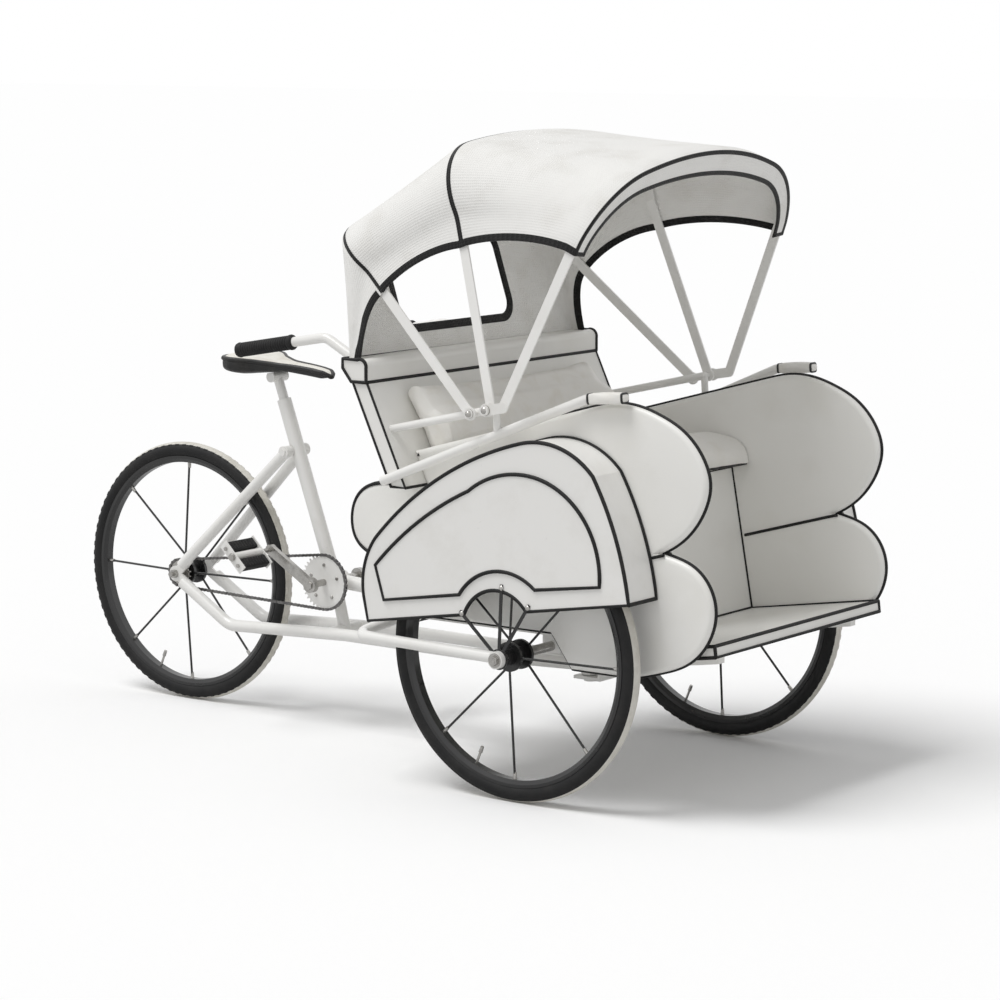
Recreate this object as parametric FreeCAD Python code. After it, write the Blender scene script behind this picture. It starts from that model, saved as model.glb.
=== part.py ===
"""Cycle rickshaw with the passenger cabin in front and the rider behind.

All lengths are in millimetres. While a piece is made, X points forward, Y to the left and Z up
from the middle of the front axle; save() moves it so that the finished vehicle stands on Z = 0
with its length centred on X = 0. Points with two numbers are (x, z) in a side view.
"""
import FreeCAD, Part
import math
import os

os.makedirs("parts", exist_ok=True)
V = FreeCAD.Vector

# ---- driving dimensions -------------------------------------------------------------------
WHEELBASE = 1435.0          # front axle to rear axle
TYRE_R = 355.0              # outside radius of all three tyres
TYRE_W = 45.0
CABIN_HALF = 375.0          # inside half width between the cabin walls
WALL_T = 30.0               # padded cabin wall
WHEEL_GAP = 54.0            # outside of the cabin wall to the middle of a front wheel
NOSE_REACH = 523.0          # front axle to the foremost point of the walls
HOOD_REACH = 648.0          # foot to crown of the front bow
CHAIN_STAY = 509.0          # rear axle to bottom bracket, along X
CRANK_LEN = 158.0
RIM_DEPTH = 55.0            # radial depth of tyre and rim together
LIP_DEPTH = 37.0            # tread to rim lip
TUBE_R = 16.0               # stays and lower rails
MAIN_TUBE_R = 19.0          # seat tube and top tube
RAIL_R = 14.0               # wheel rails outside the front wheels
AXLE_R = 12.0               # front axle beam
STUB_R = 9.0                # front wheel stubs
AXLE_END_R = 7.0            # threaded ends outside the wheel rails
AXLE_END = 10.0             # length of those ends
PIN_R = 6.0                 # rear axle, hood pins and pedal spindles
RUN_FIT = 0.05              # radial clearance of every turning fit
KINGPIN_X = -100.0
BACK_TOP = 626.0            # top of the plywood seat back
RAIL_TOP = 680.0            # top of the rail along it
KINGPIN_R = 10.0
BOARD_T = 12.0              # plywood panels
SHEET_T = 4.0               # mudguard sheet, canvas
BAR_T = 5.0                 # hood bow bar, thickness
BAR_W = 25.0                # hood bow bar, width
FRAME_HALF = 70.0           # half distance between the two lower rails
CRANK_Y = 93.0              # inside face of the crank arms, outside the rails
BRACKET_Z = 25.0            # height of the bottom bracket over the axles
HOOD_PIVOT = (-61.0, 585.0)
HOOD_FEET = {"front": (-11.0, 594.0), "middle": HOOD_PIVOT, "rear": (-116.0, 572.0)}
BOW_ANGLES = {"front": 23.8, "middle": -17.6, "rear": -48.1}
SPOKES = 8
SPOKE_R = 3.0
LINK_PITCH = 12.7           # half inch roller chain
RING_TEETH = 36
SPROCKET_TEETH = 18
CHAIN_Y = -45.0             # middle plane of the chain

# ---- sizes worked out from them -----------------------------------------------------------
WALL_OUT = CABIN_HALF + WALL_T
TRACK_HALF = WALL_OUT + WHEEL_GAP
FENDER_OUT = TRACK_HALF + 64.0
RAIL_Y = FENDER_OUT + 6.0
REAR_X = -WHEELBASE
BRACKET_X = REAR_X + CHAIN_STAY
ORIGIN_X = (WHEELBASE + TYRE_R - NOSE_REACH) / 2


# ---- helpers ------------------------------------------------------------------------------
def save(name, shape):
    """Move a finished piece to the vehicle's own frame and write it."""
    moved = shape.copy()
    moved.translate(V(ORIGIN_X, 0, TYRE_R))
    moved.exportStep("parts/" + name + ".step")


def mirrored(shape):
    """The same piece on the other side of the vehicle."""
    return shape.mirror(V(0, 0, 0), V(0, 1, 0))


def save_pair(name, right):
    """Write a right-hand piece and its mirror image."""
    save(name + "_right", right)
    save(name + "_left", mirrored(right))


def path_edges(points):
    """Edges through points; a point given as (mid, end) is reached by an arc through mid."""
    edges = []
    here = points[0]
    for step in points[1:]:
        if isinstance(step, tuple):
            edges.append(Part.Arc(here, step[0], step[1]).toShape())
            here = step[1]
        else:
            edges.append(Part.LineSegment(here, step).toShape())
            here = step
    return edges


def side_point(step, y):
    """An (x, z) point, or an ((x, z), (x, z)) arc step, on the plane at y."""
    if isinstance(step[0], tuple):
        return (V(step[0][0], y, step[0][1]), V(step[1][0], y, step[1][1]))
    return V(step[0], y, step[1])


def side_face(outline, y):
    """Closed face of an (x, z) outline on the plane at y."""
    points = [side_point(step, y) for step in outline]
    points.append(points[0])
    return Part.Face(Part.Wire(path_edges(points)))


def slab(outline, y0, y1):
    """Plate with an (x, z) outline between two planes."""
    return side_face(outline, y0).extrude(V(0, y1 - y0, 0))


def rod(a, b, r):
    """Round bar from a to b."""
    return Part.makeCylinder(r, (b - a).Length, a, b - a)


def pipe(points, r, bend):
    """Round tube along straight runs joined by tangent arcs of one bend radius."""
    steps = [points[0]]
    for before, corner, after in zip(points, points[1:], points[2:]):
        back = (before - corner).normalize()
        ahead = (after - corner).normalize()
        half = back.getAngle(ahead) / 2
        cut = bend / math.tan(half)
        middle = (back + ahead).normalize() * (bend / math.sin(half) - bend)
        steps.append(corner + back * cut)
        steps.append((corner + middle, corner + ahead * cut))
    steps.append(points[-1])
    wire = Part.Wire(path_edges(steps))
    profile = Part.Wire(Part.makeCircle(r, points[0], points[1] - points[0]))
    return wire.makePipeShell([profile], True, False)


def ring(profile, x, z):
    """Solid turned about the axis along Y through (x, z) from (y, radius) points."""
    points = []
    for step in profile:
        if isinstance(step[0], tuple):
            points.append((V(x, step[0][0], z + step[0][1]), V(x, step[1][0], z + step[1][1])))
        else:
            points.append(V(x, step[0], z + step[1]))
    points.append(points[0])
    face = Part.Face(Part.Wire(path_edges(points)))
    return face.revolve(V(x, 0, z), V(0, 1, 0), 360)


# ---- wheels -------------------------------------------------------------------------------
def tyre(x, y):
    """Balloon tyre seated on the rim."""
    half = TYRE_W / 2
    seat = TYRE_R - LIP_DEPTH
    right = [(-half + 7, seat), (-half, TYRE_R - 24), (-half + 3, TYRE_R - 9), (-half + 13, TYRE_R)]
    profile = [(y + side, r) for side, r in right] + [(y - side, r) for side, r in reversed(right)]
    return ring(profile, x, 0)


def rim(x, y):
    """Steel rim, wider at the lips that hold the tyre."""
    inner = TYRE_R - RIM_DEPTH
    lip = TYRE_R - LIP_DEPTH
    profile = [
        (y - 11, inner), (y + 11, inner), (y + 17, lip - 8), (y + 17, lip), (y - 17, lip),
        (y - 17, lip - 8),
    ]
    return ring(profile, x, 0)


def spoked_wheel(x, y, bore, half):
    """Rim, turned hub with two flanges, and spokes that leave the flanges by turns."""
    flange_r = 36.0
    flange_y = 22.0
    flange_t = 9.0
    barrel_r = 20.0
    profile = [
        (y - half, bore), (y + half, bore), (y + half, barrel_r), (y + flange_y + flange_t / 2, barrel_r),
        (y + flange_y + flange_t / 2, flange_r), (y + flange_y - flange_t / 2, flange_r),
        (y + flange_y - flange_t / 2, barrel_r), (y - flange_y + flange_t / 2, barrel_r),
        (y - flange_y + flange_t / 2, flange_r), (y - flange_y - flange_t / 2, flange_r),
        (y - flange_y - flange_t / 2, barrel_r), (y - half, barrel_r),
    ]
    hub = ring(profile, x, 0)
    rim_r = TYRE_R - RIM_DEPTH
    for i in range(SPOKES):
        turn = 2 * math.pi * i / SPOKES
        across = V(math.sin(turn), 0, math.cos(turn))
        side = flange_y if i % 2 else -flange_y
        foot = V(x, y + side, 0) + across * (flange_r - 6)
        head = V(x, y, 0) + across * (rim_r + 4)
        hub = hub.fuse(rod(foot, head, SPOKE_R))
    return hub.fuse(rim(x, y))


def sprocket(x, z, teeth, y, thick, bore):
    """Toothed wheel for the roller chain, cut from plate."""
    pitch_r = LINK_PITCH / (2 * math.sin(math.pi / teeth))
    root_r = pitch_r - 4.2
    tip_r = pitch_r + 2.8
    step = 2 * math.pi / teeth
    points = []
    for i in range(teeth):
        for turn, r in ((-0.30, root_r), (-0.09, tip_r), (0.09, tip_r), (0.30, root_r)):
            a = (i + turn) * step
            points.append((x + r * math.sin(a), z + r * math.cos(a)))
    plate = slab(points, y - thick / 2, y + thick / 2)
    return plate.cut(rod(V(x, y - thick, z), V(x, y + thick, z), bore))


def rear_sprocket():
    """Sprocket with the boss that carries it on the end of the hub."""
    plate = sprocket(REAR_X, 0, SPROCKET_TEETH, CHAIN_Y, 2.6, PIN_R + RUN_FIT)
    boss = rod(V(REAR_X, -38, 0), V(REAR_X, CHAIN_Y - 2, 0), 17)
    return plate.fuse(boss).cut(rod(axle_at(-60), axle_at(0), PIN_R + RUN_FIT))


# ---- rear frame ---------------------------------------------------------------------------
def axle_at(y):
    return V(REAR_X, y, 0)


def tongue(a, b, width, y0, y1):
    """Flat strip between two (x, z) points."""
    along = V(b[0] - a[0], 0, b[1] - a[1]).normalize()
    side = V(along.z, 0, -along.x) * (width / 2)
    corners = []
    for point, sign in ((a, 1), (b, 1), (b, -1), (a, -1)):
        corners.append((point[0] + sign * side.x, point[1] + sign * side.z))
    return slab(corners, y0, y1)


STAY_TOP = (REAR_X + 373.0, 360.0)
STAY_TOP_Y = 34.0
STAY_PIN_R = 9.0            # cross pin that joins the two stays to the seat tube
RAIL_BEND = (REAR_X + 200.0, -120.0)


def dropout(y):
    """Flat frame end that holds the rear axle, with a tongue into each tube."""
    y0, y1 = y - 3, y + 3
    plate = rod(V(REAR_X, y0, 0), V(REAR_X, y1, 0), 21)
    plate = plate.fuse(tongue((REAR_X, 0), (REAR_X + 60, -36), 26, y0, y1))
    plate = plate.fuse(tongue((REAR_X, 0), (REAR_X + 52, 46.6), 26, y0, y1))
    return plate.cut(rod(V(REAR_X, y0 - 1, 0), V(REAR_X, y1 + 1, 0), PIN_R))


def lower_rail():
    """Right-hand tube from the rear axle down and forward under the cabin to the head."""
    y = -FRAME_HALF
    points = [
        V(REAR_X + 32, y, -19.2), V(RAIL_BEND[0], y, RAIL_BEND[1]), V(BRACKET_X + 90, y, -103),
        V(KINGPIN_X - 320, y, -105), V(KINGPIN_X - 12, -14, -105),
    ]
    tube = pipe(points, TUBE_R, 70)
    return tube.cut(head_cylinder()).fuse(dropout(-FRAME_HALF + 9))


def head_cylinder():
    return rod(V(KINGPIN_X, 0, -129), V(KINGPIN_X, 0, 39), 24)


def top_tube():
    """Main tube forward to the upright head tube that turns on the kingpin."""
    tube = rod(V(BRACKET_X, 0, BRACKET_Z), V(KINGPIN_X, 0, -20), MAIN_TUBE_R)
    tube = tube.cut(bracket_cylinder()).cut(seat_tube()).fuse(head_cylinder())
    return tube.cut(rod(V(KINGPIN_X, 0, -130), V(KINGPIN_X, 0, 40), KINGPIN_R + RUN_FIT))


def bracket_cylinder():
    return rod(V(BRACKET_X, -34, BRACKET_Z), V(BRACKET_X, 34, BRACKET_Z), 24)


SEAT_TUBE_TOP = V(BRACKET_X - 170, 0, 495)


def seat_tube():
    """Tube up to the post and clamp that the saddle sits on."""
    foot = V(BRACKET_X, 0, BRACKET_Z)
    tube = rod(foot, SEAT_TUBE_TOP, MAIN_TUBE_R).cut(bracket_cylinder())
    top = SEAT_TUBE_TOP + (SEAT_TUBE_TOP - foot).normalize() * 64
    clamp = rod(V(top.x, -30, top.z), V(top.x, 30, top.z), 14)
    tube = tube.fuse(rod(SEAT_TUBE_TOP, top, 13)).fuse(clamp).cut(saddle())
    return tube.fuse(rod(V(STAY_TOP[0], -52, STAY_TOP[1]), V(STAY_TOP[0], 52, STAY_TOP[1]), STAY_PIN_R))


def seat_stay():
    """Right-hand tube from the rear axle up to the seat tube."""
    top = V(STAY_TOP[0], -STAY_TOP_Y, STAY_TOP[1])
    foot = V(REAR_X, -FRAME_HALF, 0)
    start = foot + (top - foot).normalize() * 38
    tube = rod(start, top, TUBE_R - 1)
    tube = tube.fuse(rod(top - V(0, 13, 0), top + V(0, 13, 0), TUBE_R))
    return tube.cut(seat_tube()).cut(lower_rail())


def bottom_bracket():
    """Bracket shell on a post, welded to a cross tube between the lower rails."""
    foot = V(BRACKET_X + 33, 0, -104)
    post = rod(foot, V(BRACKET_X, 0, BRACKET_Z), TUBE_R)
    cross = rod(V(foot.x, -FRAME_HALF, foot.z), V(foot.x, FRAME_HALF, foot.z), TUBE_R - 2)
    both = post.fuse(cross).fuse(bracket_cylinder()).cut(top_tube()).cut(seat_tube())
    rail = lower_rail()
    bore = rod(V(BRACKET_X, -35, BRACKET_Z), V(BRACKET_X, 35, BRACKET_Z), 9 + RUN_FIT)
    return both.cut(rail).cut(mirrored(rail)).cut(bore)


def rear_axle():
    """Axle with a nut outside each frame end."""
    axle = rod(axle_at(-86), axle_at(86), PIN_R)
    for y in (-76, 64):
        nut = Part.Face(Part.makePolygon(hexagon(REAR_X, 0, 12, y))).extrude(V(0, 12, 0))
        axle = axle.fuse(nut)
    return axle


def hexagon(x, z, r, y):
    corners = []
    for i in range(7):
        a = math.pi * i / 3
        corners.append(V(x + r * math.cos(a), y, z + r * math.sin(a)))
    return corners


def saddle():
    """Saddle: a plan outline, wide at the back, cut to a dipped side profile."""
    back = BRACKET_X - 316
    nose = back + 302
    plan = [
        V(nose, -14, 0), (V(nose + 8, 0, 0), V(nose, 14, 0)), V(nose - 100, 30, 0),
        (V(back + 110, 62, 0), V(back + 60, 104, 0)), (V(back + 8, 108, 0), V(back, 60, 0)),
        (V(back - 6, 0, 0), V(back, -60, 0)), (V(back + 8, -108, 0), V(back + 60, -104, 0)),
        (V(back + 110, -62, 0), V(nose - 100, -30, 0)), V(nose, -14, 0),
    ]
    solid = Part.Face(Part.Wire(path_edges(plan))).extrude(V(0, 0, 700))
    side = [
        (back - 20, 570), (back + 60, 560), (back + 180, 572), (nose + 20, 560),
        (nose + 20, 592), ((back + 170, 588), (back + 40, 617)), (back - 20, 612),
    ]
    return solid.common(slab(side, -150, 150))


# ---- drive --------------------------------------------------------------------------------
def crank_angle():
    """The right arm points back and up."""
    return math.radians(180 - 31)


def crank_end(side):
    a = crank_angle()
    reach = CRANK_LEN * side
    return (BRACKET_X + reach * math.cos(a), BRACKET_Z + reach * math.sin(a))


def crank_arms():
    """Crank axle, the two arms and the pedal spindles."""
    reach = CRANK_Y + 14
    body = rod(V(BRACKET_X, -reach, BRACKET_Z), V(BRACKET_X, reach, BRACKET_Z), 9)
    for side, y in ((1, -reach), (-1, CRANK_Y)):
        end = crank_end(side)
        body = body.fuse(tongue((BRACKET_X, BRACKET_Z), end, 26, y, y + 14))
        body = body.fuse(rod(V(BRACKET_X, y - 1, BRACKET_Z), V(BRACKET_X, y + 15, BRACKET_Z), 20))
        body = body.fuse(rod(V(end[0], y, end[1]), V(end[0], y + 14, end[1]), 14))
        outer = -262 if y < 0 else 262
        body = body.fuse(rod(V(end[0], y + 7, end[1]), V(end[0], outer, end[1]), PIN_R))
    return body


def chainring():
    return sprocket(BRACKET_X, BRACKET_Z, RING_TEETH, CHAIN_Y, 2.6, 9)


def chain():
    """Two plate bands of the roller chain, with rollers on the free runs between the wheels."""
    big = LINK_PITCH / (2 * math.sin(math.pi / RING_TEETH))
    small = LINK_PITCH / (2 * math.sin(math.pi / SPROCKET_TEETH))
    run = math.hypot(CHAIN_STAY, BRACKET_Z)
    lean = math.asin((big - small) / run)
    tilt = math.atan2(BRACKET_Z, CHAIN_STAY)

    def loop(extra):
        up = math.pi / 2 + tilt + lean
        down = -math.pi / 2 + tilt - lean
        f0 = (BRACKET_X + (big + extra) * math.cos(down), BRACKET_Z + (big + extra) * math.sin(down))
        f1 = (BRACKET_X + (big + extra) * math.cos(tilt), BRACKET_Z + (big + extra) * math.sin(tilt))
        f2 = (BRACKET_X + (big + extra) * math.cos(up), BRACKET_Z + (big + extra) * math.sin(up))
        r0 = (REAR_X + (small + extra) * math.cos(up), (small + extra) * math.sin(up))
        r1 = (REAR_X - (small + extra) * math.cos(tilt), -(small + extra) * math.sin(tilt))
        r2 = (REAR_X + (small + extra) * math.cos(down), (small + extra) * math.sin(down))
        return [f0, (f1, f2), r0, (r1, r2)], (f2, r0, r2, f0)

    outer = loop(4.2)[0]
    inner = loop(-4.2)[0]
    body = None
    for y in (CHAIN_Y - 3.1, CHAIN_Y + 1.6):
        band = slab(outer, y, y + 1.5).cut(slab(inner, y - 1, y + 3))
        body = band if body is None else body.fuse(band)
    ends = loop(0)[1]
    for a, b in ((ends[0], ends[1]), (ends[2], ends[3])):
        length = math.hypot(b[0] - a[0], b[1] - a[1])
        for i in range(3, int(length / (2 * LINK_PITCH)) - 1):
            t = i * 2 * LINK_PITCH / length
            x = a[0] + (b[0] - a[0]) * t
            z = a[1] + (b[1] - a[1]) * t
            body = body.fuse(rod(V(x, CHAIN_Y - 3, z), V(x, CHAIN_Y + 3, z), 3.0))
    return body


PEDAL_Y = 200.0
PEDAL_HALF = 56.0           # half width of a pedal along its spindle
PEDAL_TILT = 45.0           # front edge down, as the loose pedals hang


def pedal_body(x, z, y):
    """Pedal: a barrel on the spindle and two end plates."""
    body = rod(V(x, y - PEDAL_HALF, z), V(x, y + PEDAL_HALF, z), 11)
    for y0 in (y - PEDAL_HALF, y + PEDAL_HALF - 4):
        plate = Part.makeBox(92, 4, 26, V(x - 46, y0, z - 13))
        body = body.fuse(plate)
    body = body.cut(rod(V(x, y - 70, z), V(x, y + 70, z), PIN_R + RUN_FIT))
    return body.rotate(V(x, y, z), V(0, 1, 0), PEDAL_TILT)


def pedal_rubbers(x, z, y):
    """Two rubber blocks between the end plates, one each side of the barrel."""
    length = 2 * PEDAL_HALF - 8
    blocks = []
    for x0 in (x - 44, x + 14):
        blocks.append(Part.makeBox(30, length, 24, V(x0, y - length / 2, z - 12)))
    return blocks[0].fuse(blocks[1]).rotate(V(x, y, z), V(0, 1, 0), PEDAL_TILT)


# ---- cabin: chassis -----------------------------------------------------------------------
FLOOR_SLOPE = 0.1548
SILL_Y = CABIN_HALF - 75.0
SILL_W = 24.0
EYE_OUT = 12.0              # wheel rail eye, outside face from the rail's middle
EYE_R = 21.0
STAY_T = 3.0                # mudguard stays, strip
STAY_W = 8.0
DECK_Z = 49.0               # top of the sills behind the step


def front_axle():
    """Beam across under the seat box, turned down for each wheel and again outside its rail."""
    step = WALL_OUT + 7
    eye = RAIL_Y + EYE_OUT
    beam = rod(V(0, -step, 0), V(0, step, 0), AXLE_R)
    beam = beam.fuse(rod(V(0, -eye, 0), V(0, eye, 0), STUB_R))
    return beam.fuse(rod(V(0, -eye - AXLE_END, 0), V(0, eye + AXLE_END, 0), AXLE_END_R))


def floor_under(x):
    """Height of the underside of the sloping floor."""
    return -17 + (x - 143.7) * FLOOR_SLOPE


def sill():
    """Right-hand longitudinal: under the floor, then stepped up over the axle."""
    y0 = -SILL_Y - SILL_W / 2
    y1 = y0 + SILL_W
    top = floor_under(480)
    outline = [
        (480, top), (143.7, -17), (125, -17), (60, DECK_Z), (-442, DECK_Z), (-442, 25), (45, 25),
        (105, -41), (143.7, -41), (480, top - SILL_W),
    ]
    block = Part.makeBox(50, SILL_W, 41, V(-25, y0, -16))
    return slab(outline, y0, y1).fuse(block).cut(rod(V(0, y0 - 1, 0), V(0, y1 + 1, 0), AXLE_R))


def chassis():
    """Two sills with a cross member over the kingpin and one behind the wheels."""
    frame = sill().fuse(mirrored(sill()))
    for x in (KINGPIN_X, -430):
        frame = frame.fuse(Part.makeBox(24, 2 * CABIN_HALF, 24, V(x - 12, -CABIN_HALF, DECK_Z)))
    return frame


def yoke():
    """Forged yoke that holds the kingpin over and under the head tube and bears on the axle."""
    x0 = KINGPIN_X - 28
    x1 = KINGPIN_X + 53
    arms = Part.makeBox(x1 - x0, 70, 8, V(x0, -35, DECK_Z - 8))
    arms = arms.fuse(Part.makeBox(x1 - x0, 70, 8, V(x0, -35, -139)))
    arms = arms.fuse(Part.makeBox(8, 70, DECK_Z + 139, V(x1 - 8, -35, -139)))
    arms = arms.fuse(Part.makeBox(-x1, 60, 36, V(x1, -30, -18)))
    arms = arms.cut(rod(V(0, -31, 0), V(0, 31, 0), AXLE_R))
    pin = rod(V(KINGPIN_X, 0, -135), V(KINGPIN_X, 0, DECK_Z - 4), KINGPIN_R)
    return arms.fuse(pin).fuse(rod(V(KINGPIN_X, 0, -147), V(KINGPIN_X, 0, -135), 17))


def fender_stay():
    """Ring round the eye of the right-hand wheel rail, with three strips to the mudguard."""
    y0 = -FENDER_OUT - STAY_T
    plate = rod(V(0, y0, 0), V(0, -FENDER_OUT, 0), EYE_R + 4)
    for end in ((-115, 104), (8, 180), (88, 139)):
        plate = plate.fuse(tongue((0, 0), end, STAY_W, y0, -FENDER_OUT))
    return plate.cut(wheel_rail()).cut(front_axle())


def wheel_rail():
    """Right-hand tube outside the wheel, from the axle end round behind the tyre to the sill."""
    y = -RAIL_Y
    points = [V(0, y, 4), V(-430, y, 13), V(-430, -SILL_Y - SILL_W / 2, 35)]
    eye = rod(V(0, y - EYE_OUT, 0), V(0, y + 10, 0), EYE_R)
    tube = pipe(points, RAIL_R, 45).fuse(eye)
    return tube.cut(chassis()).cut(rod(V(0, y - 20, 0), V(0, y + 30, 0), STUB_R))


# ---- cabin: body --------------------------------------------------------------------------
def panel_x(z):
    """Front face of the leaning seat box front at a height."""
    return 139 - (z - 9) * 0.1816


def back_x(z):
    """Front face of the seat back at a height."""
    return -309 - (z - 378) * 0.471


def tail_contour():
    """Rear curve of the body under the seat back, from its foot to the bottom board."""
    return [(-353, 378), (-462, 370), ((-530, 333), (-545, 268)), ((-532, 218), (-489, 193))]


def side_panel():
    """Right-hand cabin wall with its two round lobes at the front."""
    outline = [
        (303, -30), (400, -2), ((492, 60), (523, 135)), ((505, 208), (445, 258)), (375, 273),
        ((460, 335), (507, 445)), ((470, 523), (370, 590)), ((300, 612), (225, 613)),
        (back_x(457), 457), (back_x(378), 378),
    ]
    outline += tail_contour()
    outline += [(-420, 52), (60, 52), (120, -30)]
    return slab(outline, -WALL_OUT, -CABIN_HALF)


def floor_board():
    back = panel_x(-17)
    outline = [(panel_x(9), 9), (508, 66), (512, floor_under(512)), (back, floor_under(back))]
    return slab(outline, -CABIN_HALF, CABIN_HALF)


def seat_box():
    """Plywood front and top of the box under the seat."""
    low = -17.0
    outline = [
        (panel_x(low), low), (panel_x(367), 367), (-309, 367), (-309, 367 - BOARD_T),
        (panel_x(367 - BOARD_T) - BOARD_T, 367 - BOARD_T), (panel_x(low) - BOARD_T, low),
    ]
    return slab(outline, -CABIN_HALF, CABIN_HALF)


def bottom_board():
    z0 = DECK_Z + 24
    z1 = z0 + 10
    outline = [(panel_x(z0) - BOARD_T, z0), (panel_x(z1) - BOARD_T, z1), (-410, z1), (-410, z0)]
    return slab(outline, -CABIN_HALF, CABIN_HALF)


def tail_panel():
    """Bulged locker behind the seat: a sheet bent round, closed by the seat box's back."""
    outline = tail_contour() + [(-425, DECK_Z + 34)]
    face = side_face(outline, -CABIN_HALF)
    hollow = face.makeOffset2D(-8)
    length = V(0, 2 * CABIN_HALF, 0)
    return face.extrude(length).cut(hollow.extrude(length))


def seat_back():
    top = back_x(BACK_TOP)
    outline = [(back_x(378), 378), (-353, 378), (top - 44, BACK_TOP), (top, BACK_TOP)]
    return slab(outline, -WALL_OUT - 80, WALL_OUT + 80)


def back_top_rail():
    """Rounded rail along the top of the seat back."""
    x0 = back_x(BACK_TOP) - 46
    outline = [
        (x0, BACK_TOP), (x0 + 46, BACK_TOP), (x0 + 46, RAIL_TOP - 20),
        ((x0 + 36, RAIL_TOP), (x0 + 20, RAIL_TOP)), (x0 - 26, RAIL_TOP), (x0 - 26, RAIL_TOP - 22),
    ]
    return slab(outline, -WALL_OUT - 83, WALL_OUT + 83)


def seat_cushion():
    outline = [(-252, 367), (-252, 395), (20, 446), ((84, 446), (106, 411)), (119, 379), (74, 367)]
    return slab(outline, -CABIN_HALF + 3, CABIN_HALF - 3)


def back_cushion():
    outline = [
        (-256, 367), (back_x(378), 367), (back_x(378), 378), (back_x(598), 598),
        ((back_x(598) + 30, 620), (-360, 606)), (-316, 566), ((-263, 520), (-256, 450)),
    ]
    return slab(outline, -CABIN_HALF + 3, CABIN_HALF - 3)


ARM_BACK = V(-372, -WALL_OUT - 90, 391)
ARM_BEND = V(178, -WALL_OUT - 15, 621)


def arm_at(x):
    """Point on the middle line of the right-hand armrest tube."""
    return ARM_BACK + (ARM_BEND - ARM_BACK) * ((x - ARM_BACK.x) / (ARM_BEND.x - ARM_BACK.x))


def armrest():
    """Tube from the end of the seat back along the outside of the wall, levelled at the front."""
    tip = ARM_BEND + V(100, 0, 9)
    return pipe([ARM_BACK, ARM_BEND, tip], 12, 40).cut(seat_back())


def arm_pad():
    """Rounded pad pushed over the level end of the armrest."""
    pad = Part.makeBox(84, 28, 28, V(0, -14, -14))
    for x in (0, 84):
        pad = pad.fuse(Part.makeCylinder(14, 28, V(x, -14, 0), V(0, 1, 0)))
    pad.rotate(V(0, 0, 0), V(0, 1, 0), -5)
    pad.translate(ARM_BEND + V(16, 0, 2))
    return pad.cut(armrest())


def fender_arch():
    """Mudguard outline from its low back corner over the wheel to its low front corner."""
    return [
        (-396, 50), (-409, 110), ((-405, 190), (-372, 256)), ((-178, 417), (60, 518)),
        ((180, 513), (266, 457)), ((318, 352), (367, 168)),
    ]


def fender():
    """Right-hand mudguard: a pressed side with a raised field, and a top as wide as the wheel."""
    notch = [(77, 122), ((7, 163), (-105, 96))]
    face = side_face(fender_arch() + notch, -FENDER_OUT)
    outer = face.extrude(V(0, FENDER_OUT - WALL_OUT, 0))
    below = [(375, 20), (-390, 20)]
    hollow = side_face(fender_arch() + below, -FENDER_OUT + SHEET_T).makeOffset2D(-SHEET_T)
    shell = outer.cut(hollow.extrude(V(0, FENDER_OUT, 0)))
    field = [
        (-345, 107), (-371, 190), ((-232, 312), (-90, 394)), ((10, 440), (61, 445)),
        ((196, 401), (287, 202)), (104, 177), ((7, 211), (-118, 143)),
    ]
    return shell.fuse(slab(field, -FENDER_OUT - 2, -FENDER_OUT))


# ---- handlebar ----------------------------------------------------------------------------
BAR_Y = 250.0


def handlebar():
    """Right-hand bar out of the back of the seat, with a flange where it is bolted on."""
    foot = V(back_x(575) - 44, -BAR_Y, 570)
    points = [V(-1035, -BAR_Y, 650), V(-745, -BAR_Y, 700), V(-630, -BAR_Y, 640), foot + V(30, 0, -6)]
    bar = pipe(points, 13, 50)
    flange = rod(foot + V(12, 0, 6), foot + V(-8, 0, -3), 32)
    return bar.fuse(flange).cut(seat_back())


def grip():
    a = V(-1040, -BAR_Y, 649.14)
    b = V(-850, -BAR_Y, 681.9)
    return rod(a, b, 20).cut(handlebar())


# ---- hood ---------------------------------------------------------------------------------
SIDE_RAIL_Y = WALL_OUT + 47.0
RAIL_BACK_Z = 510.0         # where the rail leaves the seat back
# each bow: y of its foot, hip (s, y), corner (s, y), shoulder (s, y), reach of the crown
BOWS = {
    "front": (90.0, (437.0, 44.0), (543.0, -20.0), (611.0, -143.0), HOOD_REACH),
    "middle": (69.0, (470.0, 7.0), (606.0, -25.0), (645.0, -110.0), HOOD_REACH + 17),
    "rear": (79.5, (480.0, 14.0), (598.0, -11.0), (622.0, -70.0), HOOD_REACH - 10),
}
HEMS = {"front": 403.0, "middle": 395.0, "rear": 404.0}  # where the canvas ends on the legs
LAY = 2.0                   # webbing between a bow and the canvas over it
BEND_CHORDS = 6
CROWN_CHORDS = 8


def bow_half(name, inset, start):
    """Half outline of a bow: start on the leg, hip, corner, shoulder and crown as (s, y)."""
    foot, hip, corner, shoulder, reach = BOWS[name]
    foot_y = WALL_OUT + foot
    hip_y = WALL_OUT + hip[1]
    lean = (hip_y - foot_y) / hip[0]
    return [
        (start, foot_y + lean * start - inset),
        (hip[0], hip_y - inset),
        (corner[0] - 0.75 * inset, WALL_OUT + corner[1] - 0.65 * inset),
        (shoulder[0] - 0.95 * inset, WALL_OUT + shoulder[1] - 0.3 * inset),
        (reach - inset, 0.0),
    ]


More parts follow.
